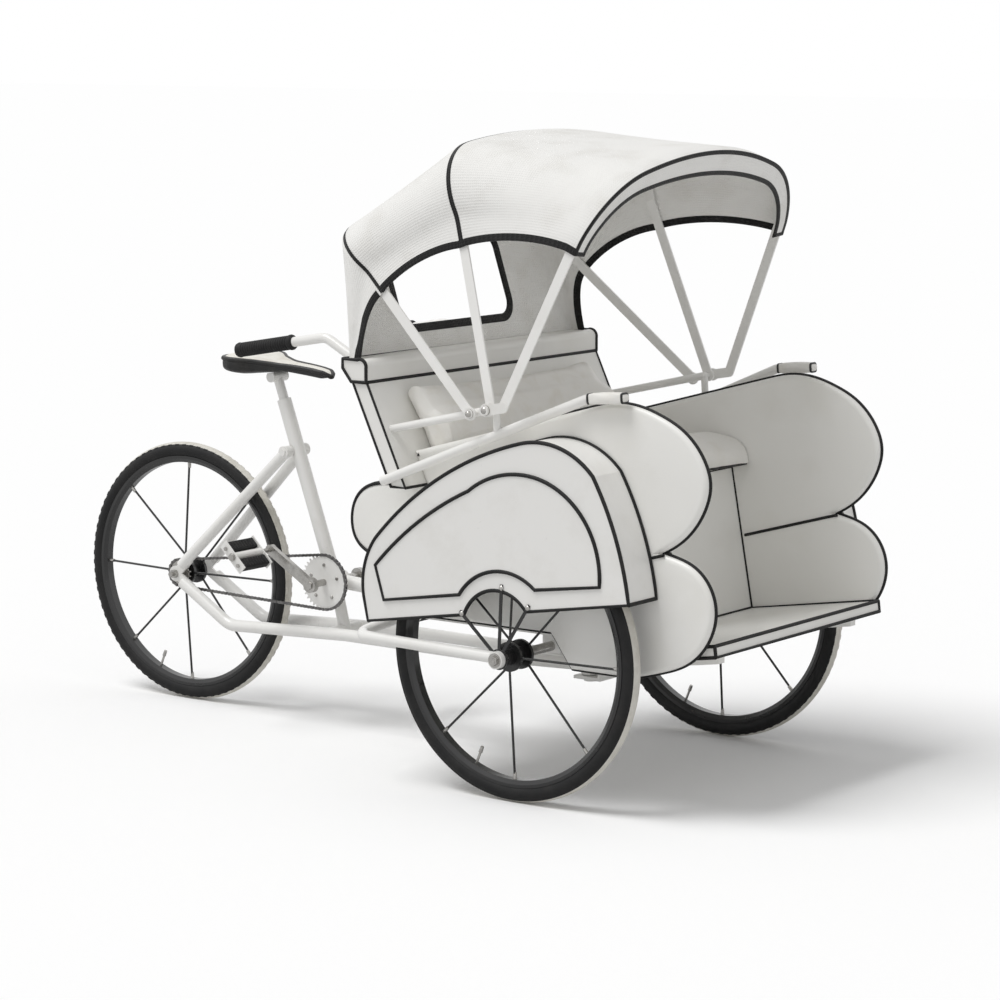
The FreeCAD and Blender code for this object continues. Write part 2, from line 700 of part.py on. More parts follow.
def band_edges(name, inset_out, inset_in, start, lift):
    """Closed outline of a bow-shaped band, in the bow's plane moved by lift along its normal."""
    a = math.radians(BOW_ANGLES[name])

    def at(s, y):
        x = HOOD_FEET[name][0] + s * math.sin(a) + lift * math.cos(a)
        z = HOOD_FEET[name][1] + s * math.cos(a) - lift * math.sin(a)
        return V(x, y, z)

    def across(inset, sign):
        start_p, hip, corner, shoulder, crown = bow_half(name, inset, start)
        right = [at(start_p[0], -sign * start_p[1]), at(hip[0], -sign * hip[1])]
        right.append((at(corner[0], -sign * corner[1]), at(shoulder[0], -sign * shoulder[1])))
        right.append((at(crown[0], 0), at(shoulder[0], sign * shoulder[1])))
        right.append((at(corner[0], sign * corner[1]), at(hip[0], sign * hip[1])))
        right.append(at(start_p[0], sign * start_p[1]))
        return right

    points = across(inset_out, 1) + across(inset_in, -1)
    points.append(points[0])
    return path_edges(points)


def chorded(edges):
    """Closed wire of stretched canvas: straight chords in place of the bends and the crown."""
    points = []
    for edge, count in zip(edges, (1, BEND_CHORDS, CROWN_CHORDS, BEND_CHORDS, 1, 1) * 2):
        points += edge.discretize(count + 1)[:-1]
    return Part.makePolygon(points + points[:1])


def canvas_section(name, lift):
    """Section of the canvas where it lies over a bow."""
    return chorded(band_edges(name, -LAY - SHEET_T, -LAY, HEMS[name], lift))


def bow_normal(name):
    a = math.radians(BOW_ANGLES[name])
    return V(math.cos(a), 0, -math.sin(a))


def bow(name):
    """Flat steel bow with a round eye at each foot; the front one is bent forward over its pin."""
    outline = Part.Wire(band_edges(name, 0, BAR_T, 0, -BAR_W / 2))
    band = Part.Face(outline).extrude(bow_normal(name) * BAR_W)
    y_out = WALL_OUT + BOWS[name][0]
    foot = HOOD_FEET[name]
    px, pz = foot if name == "rear" else HOOD_PIVOT
    for y0 in (-y_out, y_out - BAR_T):
        eye = rod(V(px, y0, pz), V(px, y0 + BAR_T, pz), 16)
        band = band.fuse(eye)
        if name == "front":
            band = band.fuse(tongue(HOOD_PIVOT, foot, BAR_W, y0, y0 + BAR_T))
            band = band.fuse(rod(V(foot[0], y0, foot[1]), V(foot[0], y0 + BAR_T, foot[1]), BAR_W / 2))
    fit = 0 if name == "rear" else RUN_FIT
    return band.cut(rod(V(px, -700, pz), V(px, 700, pz), PIN_R + fit))


def canvas(front, rear):
    """Canvas from over the front bow back to the next bow's front edge."""
    half = BAR_W / 2
    sections = [
        canvas_section(front, half), canvas_section(front, -half), canvas_section(rear, half),
    ]
    return Part.makeLoft(sections, True, True)


def valance():
    """Deep hem that faces forward round the front bow."""
    outline = Part.Wire(band_edges("front", -SHEET_T, 46, HEMS["front"], BAR_W / 2))
    return Part.Face(outline).extrude(bow_normal("front") * SHEET_T)


def curtain_foot():
    """Outline of the back curtain where it stands on the top rail."""
    x = back_x(BACK_TOP) - 46 - 23
    side = WALL_OUT + 68
    z = RAIL_TOP

    def line(inset, sign):
        start = (x + 40, side - inset)
        hip = (x + 14 + 0.3 * inset, side - inset)
        corner = (x + 4 + 0.7 * inset, side - 4 - 0.7 * inset)
        shoulder = (x + inset, side - 14 - 0.3 * inset)
        right = [V(start[0], -sign * start[1], z), V(hip[0], -sign * hip[1], z)]
        right.append((V(corner[0], -sign * corner[1], z), V(shoulder[0], -sign * shoulder[1], z)))
        right.append(V(shoulder[0], sign * shoulder[1], z))
        right.append((V(corner[0], sign * corner[1], z), V(hip[0], sign * hip[1], z)))
        right.append(V(start[0], sign * start[1], z))
        return right

    points = line(0, 1) + line(SHEET_T, -1)
    points.append(points[0])
    return chorded(path_edges(points))


def window_cutter():
    """Rounded window in the back curtain."""
    half, low, high, r = 225.0, RAIL_TOP + 60, 945.0, 40.0
    k = r * (1 - math.sqrt(0.5))

    def at(y, z):
        return V(-800, y, z)

    points = [
        at(-half + r, low), at(half - r, low), (at(half - k, low + k), at(half, low + r)),
        at(half, high - r), (at(half - k, high - k), at(half - r, high)),
        at(-half + r, high), (at(-half + k, high - k), at(-half, high - r)),
        at(-half, low + r), (at(-half + k, low + k), at(-half + r, low)),
    ]
    return Part.Face(Part.Wire(path_edges(points))).extrude(V(400, 0, 0))


def back_curtain():
    """Fixed canvas from over the rear bow down to the top rail of the seat back."""
    half = BAR_W / 2
    sections = [canvas_section("rear", half), canvas_section("rear", -half), curtain_foot()]
    return Part.makeLoft(sections, True, True).cut(window_cutter()).cut(back_top_rail())


def hood_rail():
    """Right-hand rail from the seat back to the hood pins, with a short post to the armrest."""
    px, pz = HOOD_PIVOT
    rx, rz = HOOD_FEET["rear"]
    y = -SIDE_RAIL_Y
    tube = rod(V(back_x(RAIL_BACK_Z) - 20, y, RAIL_BACK_Z), V(px, y, pz), 10)
    tube = tube.fuse(Part.makeSphere(10, V(px, y, pz)))
    tube = tube.fuse(rod(V(px, y, pz), arm_at(px + 4), 9))
    tube = tube.cut(armrest()).cut(seat_back())
    tube = tube.fuse(rod(V(rx, y, rz), V(rx, -WALL_OUT - 81, rz), PIN_R))
    tube = tube.fuse(rod(V(rx, -WALL_OUT - 79.5, rz), V(rx, -WALL_OUT - 84, rz), 11))
    pin = rod(V(px, y, pz), V(px, -WALL_OUT - 95, pz), PIN_R)
    head = rod(V(px, -WALL_OUT - 91.5, pz), V(px, -WALL_OUT - 98, pz), 12)
    return tube.fuse(pin).fuse(head)


# ---- write every piece --------------------------------------------------------------------
for name, x, y in (("front_wheel_right", 0.0, -TRACK_HALF), ("front_wheel_left", 0.0, TRACK_HALF),
                   ("rear_wheel", REAR_X, 0.0)):
    save(name + "_tyre", tyre(x, y))
    rear = name == "rear_wheel"
    save(name + "_spoked", spoked_wheel(x, y, (PIN_R if rear else STUB_R) + RUN_FIT, 38.0))

save("rear_sprocket", rear_sprocket())
save_pair("lower_rail", lower_rail())
save_pair("seat_stay", seat_stay())
save("bottom_bracket", bottom_bracket())
save("seat_tube", seat_tube())
save("top_tube", top_tube())
save("rear_axle", rear_axle())
save("saddle", saddle())
save("crank_arms", crank_arms())
save("chainring", chainring())
save("chain", chain())
for name, side in (("right", 1), ("left", -1)):
    px, pz = crank_end(side)
    save("pedal_" + name, pedal_body(px, pz, -side * PEDAL_Y))
    save("pedal_rubbers_" + name, pedal_rubbers(px, pz, -side * PEDAL_Y))

save("front_axle", front_axle())
save("chassis", chassis())
save("yoke", yoke())
save_pair("wheel_rail", wheel_rail())
save_pair("fender_stay", fender_stay())
save_pair("side_panel", side_panel())
save("floor_board", floor_board())
save("seat_box", seat_box())
save("bottom_board", bottom_board())
save("tail_panel", tail_panel())
save("seat_back", seat_back())
save("back_top_rail", back_top_rail())
save("seat_cushion", seat_cushion())
save("back_cushion", back_cushion())
save_pair("armrest", armrest())
save_pair("arm_pad", arm_pad())
save_pair("fender", fender())
save_pair("handlebar", handlebar())
save_pair("grip", grip())
save_pair("hood_rail", hood_rail())
for name in BOWS:
    save("hood_bow_" + name, bow(name))
save("hood_canvas_front", canvas("front", "middle"))
save("hood_canvas_rear", canvas("middle", "rear"))
save("hood_valance", valance())
save("hood_curtain", back_curtain())
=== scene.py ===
"""Cycle rickshaw: the looks of the vehicle, made around its construction frame."""
import contextlib
import math

import bpy
from mathutils import Matrix, Vector


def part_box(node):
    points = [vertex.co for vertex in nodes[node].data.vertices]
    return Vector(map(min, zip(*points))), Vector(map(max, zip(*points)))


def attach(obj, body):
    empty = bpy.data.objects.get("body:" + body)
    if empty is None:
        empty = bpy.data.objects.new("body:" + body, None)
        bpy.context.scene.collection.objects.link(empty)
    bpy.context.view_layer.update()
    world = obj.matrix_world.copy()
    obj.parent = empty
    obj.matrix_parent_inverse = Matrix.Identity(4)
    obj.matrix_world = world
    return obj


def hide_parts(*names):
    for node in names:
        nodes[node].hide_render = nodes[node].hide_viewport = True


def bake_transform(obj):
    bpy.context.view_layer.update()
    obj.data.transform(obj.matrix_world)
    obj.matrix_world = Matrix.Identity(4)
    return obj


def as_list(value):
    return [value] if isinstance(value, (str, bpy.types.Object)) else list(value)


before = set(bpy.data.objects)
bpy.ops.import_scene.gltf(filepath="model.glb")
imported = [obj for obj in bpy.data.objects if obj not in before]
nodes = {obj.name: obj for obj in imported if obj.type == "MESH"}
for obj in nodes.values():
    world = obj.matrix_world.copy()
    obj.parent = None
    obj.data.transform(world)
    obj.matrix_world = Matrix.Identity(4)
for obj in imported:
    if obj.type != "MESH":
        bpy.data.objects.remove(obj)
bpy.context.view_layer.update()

scene = bpy.context.scene

# ---- Studio ---------------------------------------------------------------------------------
# A white sweep of floor under a large soft overhead light, seen by a long lens from the front
# right, a little above the mudguards. The floor takes the vehicle's shadow.
CAMERA_AT = Vector((5.2136, -6.7332, 1.8611))
CAMERA_AIM = Vector((0.2505, 0.0, 0.641))
CAMERA_LENS = 119.7
SUN_WAY = Vector((0.30, 0.35, -1.0))
SUN_STRENGTH = 1.7
SUN_SPREAD = math.radians(30)
FILL_STRENGTH = 0.50
FLOOR_SIZE = 120
FLOOR_TONE = (0.72, 0.72, 0.72, 1)


def linear(hex_colour):
    """sRGB hex colour as linear red, green, blue and alpha."""
    parts = [int(hex_colour[i:i + 2], 16) / 255 for i in (1, 3, 5)]
    return tuple(c / 12.92 if c <= 0.04045 else ((c + 0.055) / 1.055) ** 2.4 for c in parts) + (1.0,)


def add(tree, kind, sockets=None, **settings):
    """Add a node: settings name its properties or inputs; sockets get an output or a value."""
    made = tree.nodes.new(kind)
    for name, value in settings.items():
        if hasattr(made, name):
            setattr(made, name, value)
        else:
            made.inputs[name.replace("_", " ")].default_value = value
    for socket, value in (sockets or {}).items():
        if isinstance(value, bpy.types.NodeSocket):
            tree.links.new(value, made.inputs[socket])
        else:
            made.inputs[socket].default_value = value
    return made


def placed(name, data, location=(0, 0, 0), way=None):
    """A new object in the scene, facing way when that is given."""
    made = bpy.data.objects.new(name, data)
    scene.collection.objects.link(made)
    made.location = location
    if way is not None:
        made.rotation_euler = way.to_track_quat("-Z", "Y").to_euler()
    return made


camera_data = bpy.data.cameras.new("camera")
camera_data.lens = CAMERA_LENS
camera_data.sensor_width = 36.0
camera_data.clip_end = 200.0
scene.camera = placed("camera", camera_data, CAMERA_AT, CAMERA_AIM - CAMERA_AT)
scene.view_settings.view_transform = "Standard"
sun_data = bpy.data.lights.new("overhead", "SUN")
sun_data.energy = SUN_STRENGTH
sun_data.angle = SUN_SPREAD
placed("overhead", sun_data, way=SUN_WAY)

world = bpy.data.worlds.new("studio")
scene.world = world
world.use_nodes = True
sky = world.node_tree
sky.nodes.clear()
ray = add(sky, "ShaderNodeLightPath")
seen = ray.outputs["Is Camera Ray"]
for kind in ("Is Glossy Ray", "Is Transmission Ray"):
    seen = add(sky, "ShaderNodeMath", {0: seen, 1: ray.outputs[kind]}, operation="MAXIMUM").outputs[0]
fill, white = (add(sky, "ShaderNodeBackground", Color=linear("#ffffff"), Strength=strength).outputs[0]
               for strength in (FILL_STRENGTH, 1.0))
sky_mix = add(sky, "ShaderNodeMixShader", {0: seen, 1: fill, 2: white})
add(sky, "ShaderNodeOutputWorld", {"Surface": sky_mix.outputs[0]})

bpy.ops.object.select_all(action="DESELECT")
bpy.ops.mesh.primitive_plane_add(size=FLOOR_SIZE, location=(0, 0, 0))
floor = bpy.context.object
floor.name = "studio_floor"
floor_paint = bpy.data.materials.new("matt white sweep")
floor_paint.use_nodes = True
tree = floor_paint.node_tree
tree.nodes.clear()
ray = add(tree, "ShaderNodeLightPath")
tone = add(tree, "ShaderNodeMix", {0: ray.outputs["Is Camera Ray"], 6: FLOOR_TONE, 7: (1, 1, 1, 1)},
           data_type="RGBA")
matt = add(tree, "ShaderNodeBsdfDiffuse", {"Color": tone.outputs[2]})
add(tree, "ShaderNodeOutputMaterial", {"Surface": matt.outputs[0]})
floor.data.materials.append(floor_paint)

# ---- Frame tubes, mudguards and hood bows: stove enamel ---------------------------------------
# Steel tube and sheet, welded, dipped and stoved in white enamel. The enamel is thick and glossy,
# with a faint orange peel, and greyer where dust lies and hands and boots have rubbed it.


def per_metre(size_mm):
    """Texture scale that gives features of a size in millimetres on Object coordinates."""
    return 1000.0 / size_mm


def worn_material(name, colour, worn, patches, start=0.0, end=1.0, **shading):
    """Material that drifts to its worn tone as its patches of noise go from start to end, and what
    its bump and gloss are joined to: its tree, shader, Object coordinates and patches."""
    made = bpy.data.materials.new(name)
    made.use_nodes = True
    tree = made.node_tree
    shader = tree.nodes["Principled BSDF"]
    for socket, value in shading.items():
        shader.inputs[socket.replace("_", " ")].default_value = value
    place = add(tree, "ShaderNodeTexCoord").outputs["Object"]
    noise = add(tree, "ShaderNodeTexNoise", {"Vector": place}, **patches).outputs["Fac"]
    amount = add(tree, "ShaderNodeMapRange", {"Value": noise}, From_Min=start, From_Max=end)
    tone = add(tree, "ShaderNodeMix", {0: amount.outputs[0], 6: linear(colour), 7: linear(worn)},
               data_type="RGBA")
    tree.links.new(tone.outputs[2], shader.inputs["Base Color"])
    return made, tree, shader, place, noise


def enamel(name, colour, worn, roughness, coat):
    """Stoved enamel: duller in its patches, over an orange-peel bump."""
    made, tree, shader, place, patches = worn_material(
        name, colour, worn, dict(Scale=per_metre(140), Detail=6.0, Roughness=0.62), 0.52, 0.85,
        Coat_Weight=coat, Coat_Roughness=0.12)
    gloss = add(tree, "ShaderNodeMapRange", {"Value": patches}, From_Min=0.3, From_Max=0.8,
                To_Min=roughness - 0.05, To_Max=roughness + 0.16)
    tree.links.new(gloss.outputs[0], shader.inputs["Roughness"])
    peel = add(tree, "ShaderNodeTexNoise", {"Vector": place}, Scale=per_metre(5), Detail=2.0)
    bump = add(tree, "ShaderNodeBump", {"Height": peel.outputs["Fac"]}, Strength=0.10, Distance=0.0004)
    tree.links.new(bump.outputs[0], shader.inputs["Normal"])
    return made


def finish(material, *names):
    """Give construction pieces a finish."""
    for name in names:
        nodes[name].data.materials.clear()
        nodes[name].data.materials.append(material)


white_enamel = enamel("stoved white enamel", "#f1f0ed", "#e6e4df", 0.30, 0.35)
black_enamel = enamel("stoved black enamel", "#0d0d0e", "#1c1b1a", 0.28, 0.4)
finish(white_enamel, "seat_tube", "top_tube", "bottom_bracket", "yoke", "chassis", "hood_bow_front",
       "hood_bow_middle", "hood_bow_rear",
       *[part + side for part in ("lower_rail", "seat_stay", "wheel_rail", "fender", "handlebar",
                                  "armrest", "hood_rail") for side in ("_right", "_left")])

# ---- Bright parts: axles, cranks, chain wheels ------------------------------------------------
# Turned and pressed steel, nickel plated and polished. The plating carries a faint directionless
# haze of fine scratches, and a little oily dirt.
OILY_DIRT = "#8d8b88"


def bright_metal(name, colour, roughness):
    """Bare or plated metal: oily dirt in small patches and a haze of scratches in its gloss."""
    made, tree, shader, place, _ = worn_material(
        name, colour, OILY_DIRT, dict(Scale=per_metre(18), Detail=5.0), Metallic=1.0)
    haze = add(tree, "ShaderNodeTexNoise", {"Vector": place}, Scale=per_metre(1.5), Detail=3.0)
    gloss = add(tree, "ShaderNodeMapRange", {"Value": haze.outputs["Fac"]}, To_Min=roughness - 0.08,
                To_Max=roughness + 0.14)
    tree.links.new(gloss.outputs[0], shader.inputs["Roughness"])
    return made


nickel = bright_metal("polished nickel plate", "#cfcdc9", 0.24)
finish(nickel, "rear_axle", "front_axle", "crank_arms", "rear_sprocket")
finish(white_enamel, "chainring")
finish(black_enamel, "rear_wheel_spoked", "front_wheel_right_spoked", "front_wheel_left_spoked",
       "fender_stay_right", "fender_stay_left")

# ---- Tyres ------------------------------------------------------------------------------------
# Roadster tyres: black rubber walls moulded over a pale natural rubber tread with a centre rib
# and shoulder blocks. Each is a torus, its tread faces raised in edit mode.
TREAD_RISE = 0.0014
TREAD_GAP = 0.0012
TREAD_STEPS = 168
TREAD_HALF = 36  # degrees round the section from the middle of the tread
RIB_HALF = 12
BLOCKS = (20, 50)


def rubber(name, colour, dusty):
    """Moulded rubber: matt, with a fine grain and dust in broad patches."""
    made, tree, shader, place, _ = worn_material(
        name, colour, dusty, dict(Scale=per_metre(60), Detail=6.0, Roughness=0.65), 0.45, 0.8,
        Roughness=0.62, Specular_IOR_Level=0.35)
    grain = add(tree, "ShaderNodeTexNoise", {"Vector": place}, Scale=per_metre(1.2), Detail=3.0)
    bump = add(tree, "ShaderNodeBump", {"Height": grain.outputs["Fac"]}, Strength=0.3, Distance=0.0004)
    tree.links.new(bump.outputs[0], shader.inputs["Normal"])
    return made


black_rubber = rubber("black moulded rubber", "#0e0e0f", "#242322")
pale_rubber = rubber("pale natural rubber", "#dcd9d1", "#bdb9ae")


def box_of(node):
    """A construction piece's lowest and highest corners, and the middle of the two."""
    low, high = (Vector(corner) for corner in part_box(node))
    return low, high, (low + high) / 2


def choose_faces(mesh, chosen):
    """Select the faces for which chosen says yes, and no others."""
    for face in mesh.polygons:
        face.select = bool(chosen(face))
    for item in (*mesh.edges, *mesh.vertices):
        item.select = False
    for face in mesh.polygons:
        if face.select:
            for index in face.vertices:
                mesh.vertices[index].select = True


def select_only(piece):
    bpy.ops.object.select_all(action="DESELECT")
    piece.select_set(True)
    bpy.context.view_layer.objects.active = piece


def place_mesh(piece):
    """Put a piece's place, turn and scale into its mesh."""
    select_only(piece)
    bpy.ops.object.transform_apply(location=True, rotation=True, scale=True)


@contextlib.contextmanager
def editing(piece, by=None, start="SELECT"):
    """Edit mode on a piece: by says what is selected in it, and start what is done to that first."""
    select_only(piece)
    bpy.ops.object.mode_set(mode="EDIT")
    if by:
        bpy.ops.mesh.select_mode(type=by)
    if start:
        bpy.ops.mesh.select_all(action=start)
    yield
    bpy.ops.object.mode_set(mode="OBJECT")


def smooth_below(degrees):
    """Shade the selected piece smooth, apart from edges sharper than this."""
    bpy.ops.object.shade_smooth_by_angle(angle=math.radians(degrees))


def fit_out(piece, material, slot_name, body, *stands_for):
    """Give a new piece its finish, unless it has its own, and its place on the vehicle."""
    if material:
        piece.data.materials.clear()
        piece.data.materials.append(material)
    if stands_for:
        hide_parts(*stands_for)
    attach(piece, body)


wheels = ("front_wheel_right", "front_wheel_left", "rear_wheel")
for wheel in wheels:
    low, high, centre = box_of(wheel + "_tyre")
    thick = (high.y - low.y) / 2 - TREAD_RISE
    ring_r = (high.z - low.z) / 2 - TREAD_RISE - thick
    bpy.ops.object.select_all(action="DESELECT")
    bpy.ops.mesh.primitive_torus_add(location=centre, rotation=(math.pi / 2, 0, 0), major_radius=ring_r,
                                     minor_radius=thick, major_segments=TREAD_STEPS, minor_segments=28)
    tyre = bpy.context.object
    tyre.name = wheel + "_tyre_treaded"
    place_mesh(tyre)

    def spread(face):
        """Angle of a face round the tyre's section, from the middle of the tread."""
        out = Vector((face.center.x - centre.x, 0, face.center.z - centre.z))
        return math.degrees(math.atan2(face.center.y - centre.y, out.length - ring_r))

    def is_raised(face):
        """Whether a face is in the centre rib or in a shoulder block."""
        turn = math.atan2(face.center.x - centre.x, face.center.z - centre.z) / (2 * math.pi)
        shift = 0 if spread(face) > 0 else 1
        is_block = (int(turn * TREAD_STEPS + TREAD_STEPS) + shift) % 2 == 0
        return abs(spread(face)) < RIB_HALF or (BLOCKS[0] < abs(spread(face)) < BLOCKS[1] and is_block)

    tyre.data.materials.append(black_rubber)
    tyre.data.materials.append(pale_rubber)
    for face in tyre.data.polygons:
        face.material_index = 1 if abs(spread(face)) < TREAD_HALF else 0
    choose_faces(tyre.data, is_raised)
    with editing(tyre, "FACE", None):
        bpy.ops.mesh.inset(thickness=TREAD_GAP, depth=TREAD_RISE)
    smooth_below(28)
    fit_out(tyre, None, "tyre_rubber", wheel, wheel + "_tyre")

# ---- Wheel fittings ---------------------------------------------------------------------------
# Plated steel spoke nipples in the rim, a valve with its cap, and a hexagon nut over a washer on
# each end of the front axle.
SPOKES = 8
RIM_DEPTH = 0.055
VALVE_AT = SPOKES / 2 + 0.5  # midway between two spokes
NIPPLE = (0.016, -0.001, 0.0042, 10, 0.0055)  # reach in from the rim, radius, sides, second radius
VALVE = (0.034, -0.001, 0.0032)
VALVE_CAP = (0.046, 0.030, 0.0044, 12, 0.0050)
AXLE_END = 0.010


def join(pieces, name):
    """One object from several, its place in its mesh."""
    select_only(pieces[0])
    for piece in pieces:
        piece.select_set(True)
    if len(pieces) > 1:
        bpy.ops.object.join()
    made = bpy.context.view_layer.objects.active
    made.name = name
    bpy.ops.object.transform_apply(location=True, rotation=True, scale=True)
    return made


def bar(a, b, r, sides=12, r2=None):
    """Round bar between two points, tapered when r2 is given."""
    a, b = Vector(a), Vector(b)
    turn = (b - a).to_track_quat("Z", "Y").to_euler()
    bpy.ops.object.select_all(action="DESELECT")
    bpy.ops.mesh.primitive_cone_add(vertices=sides, radius1=r, radius2=r if r2 is None else r2,
                                    depth=(b - a).length, location=(a + b) / 2, rotation=turn)
    return bpy.context.object


for wheel in wheels:
    low, high, centre = box_of(wheel + "_tyre")
    rim_r = (high.z - low.z) / 2 - RIM_DEPTH
    fittings = []
    for at, (inner, outer, *shape) in ([(i, NIPPLE) for i in range(SPOKES)]
                                       + [(VALVE_AT, VALVE), (VALVE_AT, VALVE_CAP)]):
        turn = 2 * math.pi * at / SPOKES
        across = Vector((math.sin(turn), 0, math.cos(turn)))
        fittings.append(bar(centre + across * (rim_r - inner), centre + across * (rim_r - outer), *shape))
    fit_out(join(fittings, wheel + "_nipples_and_valve"), nickel, "bright_steel", wheel)

low, high, middle = box_of("front_axle")
for side, way, y in (("right", -1, low.y), ("left", 1, high.y)):
    seat, face, end = (Vector((middle.x, y + way * (reach - AXLE_END), middle.z))
                       for reach in (0, 0.002, 0.009))
    nut = join([bar(seat, face, 0.0175, 32), bar(face, end, 0.0130, 6, 0.0122)], "axle_nut_" + side)
    fit_out(nut, nickel, "bright_steel", "cabin")

# ---- Chain ------------------------------------------------------------------------------------
# Half-inch roller chain: plates stamped from blued steel, pinned in pairs round turned rollers.
# One link is modelled, copied at each pitch of the run round both wheels, and joined.
CHAIN_Y = box_of("chain")[2].y
LINK_PITCH = 0.0127
PLATE_R = 0.0041
PLATE_T = 0.0010
PLATE_WAIST = 0.72
FRONT_TEETH, REAR_TEETH = 36, 18


def in_plane(angle):
    """The way at an angle in the wheels' plane."""
    return Vector((math.cos(angle), 0, math.sin(angle)))


def chain_wheel(node, teeth):
    """Centre of a chain wheel in the chain's plane, and the radius that its teeth give."""
    centre = box_of(node)[2]
    centre.y = CHAIN_Y
    return centre, LINK_PITCH / (2 * math.sin(math.pi / teeth))


front_disc, front_r = chain_wheel("chainring", FRONT_TEETH)
rear_disc, rear_r = chain_wheel("rear_sprocket", REAR_TEETH)


def chain_run():
    """Evenly spaced points round the two chain wheels, an even number of them, a pitch apart."""
    run = front_disc - rear_disc
    tilt = math.atan2(run.z, run.x)
    lean = math.asin((front_r - rear_r) / run.length)
    straight = run.length * math.cos(lean)
    under, over = tilt - math.pi / 2 - lean, tilt + math.pi / 2 + lean
    legs = ((front_r * (math.pi + 2 * lean), front_disc, front_r, under, True),
            (straight, front_disc, front_r, over, False),
            (rear_r * (math.pi - 2 * lean), rear_disc, rear_r, over, True),
            (straight, rear_disc, rear_r, under, False))
    total = sum(leg[0] for leg in legs)
    count = 2 * round(total / LINK_PITCH / 2)
    out = []
    for i in range(count):
        along = total * i / count
        for length, disc, radius, angle, is_curved in legs:
            if along < length:
                break
            along -= length
        if is_curved:
            out.append(disc + in_plane(angle + along / radius) * radius)
        else:
            out.append(disc + in_plane(angle) * radius + in_plane(angle + math.pi / 2) * along)
    return out


def face_outwards():
    """Turn all the faces of the piece in edit mode outwards."""
    bpy.ops.mesh.select_all(action="SELECT")
    bpy.ops.mesh.normals_make_consistent(inside=False)


def link_plate(y):
    """Waisted plate round two pins, in the plane y of a link that lies along X."""
    bpy.ops.object.select_all(action="DESELECT")
    bpy.ops.mesh.primitive_circle_add(vertices=16, radius=PLATE_R, fill_type="NGON", location=(0, y, 0),
                                      rotation=(math.pi / 2, 0, 0))
    made = bpy.context.object
    place_mesh(made)
    for vertex in made.data.vertices:
        if abs(vertex.co.x) < 0.001:
            vertex.co.z *= PLATE_WAIST
        else:
            vertex.co.x += math.copysign(LINK_PITCH / 2, vertex.co.x)
    with editing(made):
        bpy.ops.mesh.extrude_region_move(TRANSFORM_OT_translate={"value": (0, PLATE_T, 0)})
        face_outwards()
    return made


def link(gap, name):
    """Two plates, each gap from the middle, with a roller and its pin."""
    parts = [link_plate(way * gap - PLATE_T / 2) for way in (-1, 1)]
    for half, radius, sides in ((0.0020, 0.0039, 12), (0.0048, 0.0017, 8)):
        parts.append(bar((LINK_PITCH / 2, -half, 0), (LINK_PITCH / 2, half, 0), radius, sides))
    return join(parts, name)


patterns = [link(0.0034, "link_outer"), link(0.0021, "link_inner")]
links = []
run_points = chain_run()
for i, place in enumerate(run_points):
    following = run_points[(i + 1) % len(run_points)]
    along = math.atan2(following.z - place.z, following.x - place.x)
    copied = placed("link", patterns[i % 2].data.copy())
    copied.matrix_world = Matrix.Translation((place + following) / 2) @ Matrix.Rotation(-along, 4, "Y")
    links.append(copied)
for pattern in patterns:
    bpy.data.objects.remove(pattern)
blued_steel = bright_metal("blued spring steel", "#5c5b5e", 0.34)
fit_out(join(links, "roller_chain"), blued_steel, "bright_steel", "rear_frame", "chain")

# ---- Pedals -----------------------------------------------------------------------------------
# Each pedal is a pressed frame round a barrel with two moulded rubber blocks, which are ribbed
# across on both faces and bolted through the end plates.
finish(white_enamel, "pedal_right", "pedal_left")
BLOCK = Vector((0.030, 0.104, 0.024))
BLOCK_X = 0.029
RIB_STEP = 0.0105
RIB_R = 0.0036
PEDAL_TILT = math.radians(45)
PLATE_Y = BLOCK.y / 2 + 0.006


def modified(piece, kind, **settings):
    """Give a piece a modifier and apply it."""
    select_only(piece)
    made = piece.modifiers.new("step", kind)
    for name, value in settings.items():
        setattr(made, name, value)
    bpy.ops.object.modifier_apply(modifier="step")


def ribbed_block(x):
    """Rubber block with rounded ribs across its top and bottom."""
    bpy.ops.object.select_all(action="DESELECT")
    bpy.ops.mesh.primitive_cube_add(size=1, location=(x, 0, 0), scale=BLOCK - Vector((0, 0, 0.004)))
    block = bpy.context.object
    place_mesh(block)
    modified(block, "BEVEL", width=0.0035, segments=3)
    parts = [block]
    ribs = int((BLOCK.y - 0.010) / RIB_STEP)
    across = BLOCK.x / 2 - 0.004
    for i in range(ribs):
        y = (i - (ribs - 1) / 2) * RIB_STEP
        for z in (RIB_R - BLOCK.z / 2, BLOCK.z / 2 - RIB_R):
            parts.append(bar((x - across, y, z), (x + across, y, z), RIB_R, 10))
    return parts


for side in ("right", "left"):
    middle = box_of("pedal_rubbers_" + side)[2]
    blocks = ribbed_block(-BLOCK_X) + ribbed_block(BLOCK_X)
    bolts = [bar((x, way * PLATE_Y, 0), (x, way * (PLATE_Y + reach), 0), *shape)
             for x, reach, shape in ((-BLOCK_X, 0.0035, (0.0055, 6)), (BLOCK_X, 0.0035, (0.0055, 6)),
                                     (0, 0.0050, (0.0110, 24, 0.0085))) for way in (-1, 1)]
    for pieces, name, *fitting in (
            (blocks, "pedal_blocks_", black_rubber, "black_rubber", "pedal_" + side,
             "pedal_rubbers_" + side),
            (bolts, "pedal_bolts_", nickel, "bright_steel", "pedal_" + side)):
        made = join(pieces, name + side)
        made.matrix_world = Matrix.Translation(middle) @ Matrix.Rotation(PEDAL_TILT, 4, "Y")
        place_mesh(made)
        smooth_below(40)
        fit_out(made, *fitting)

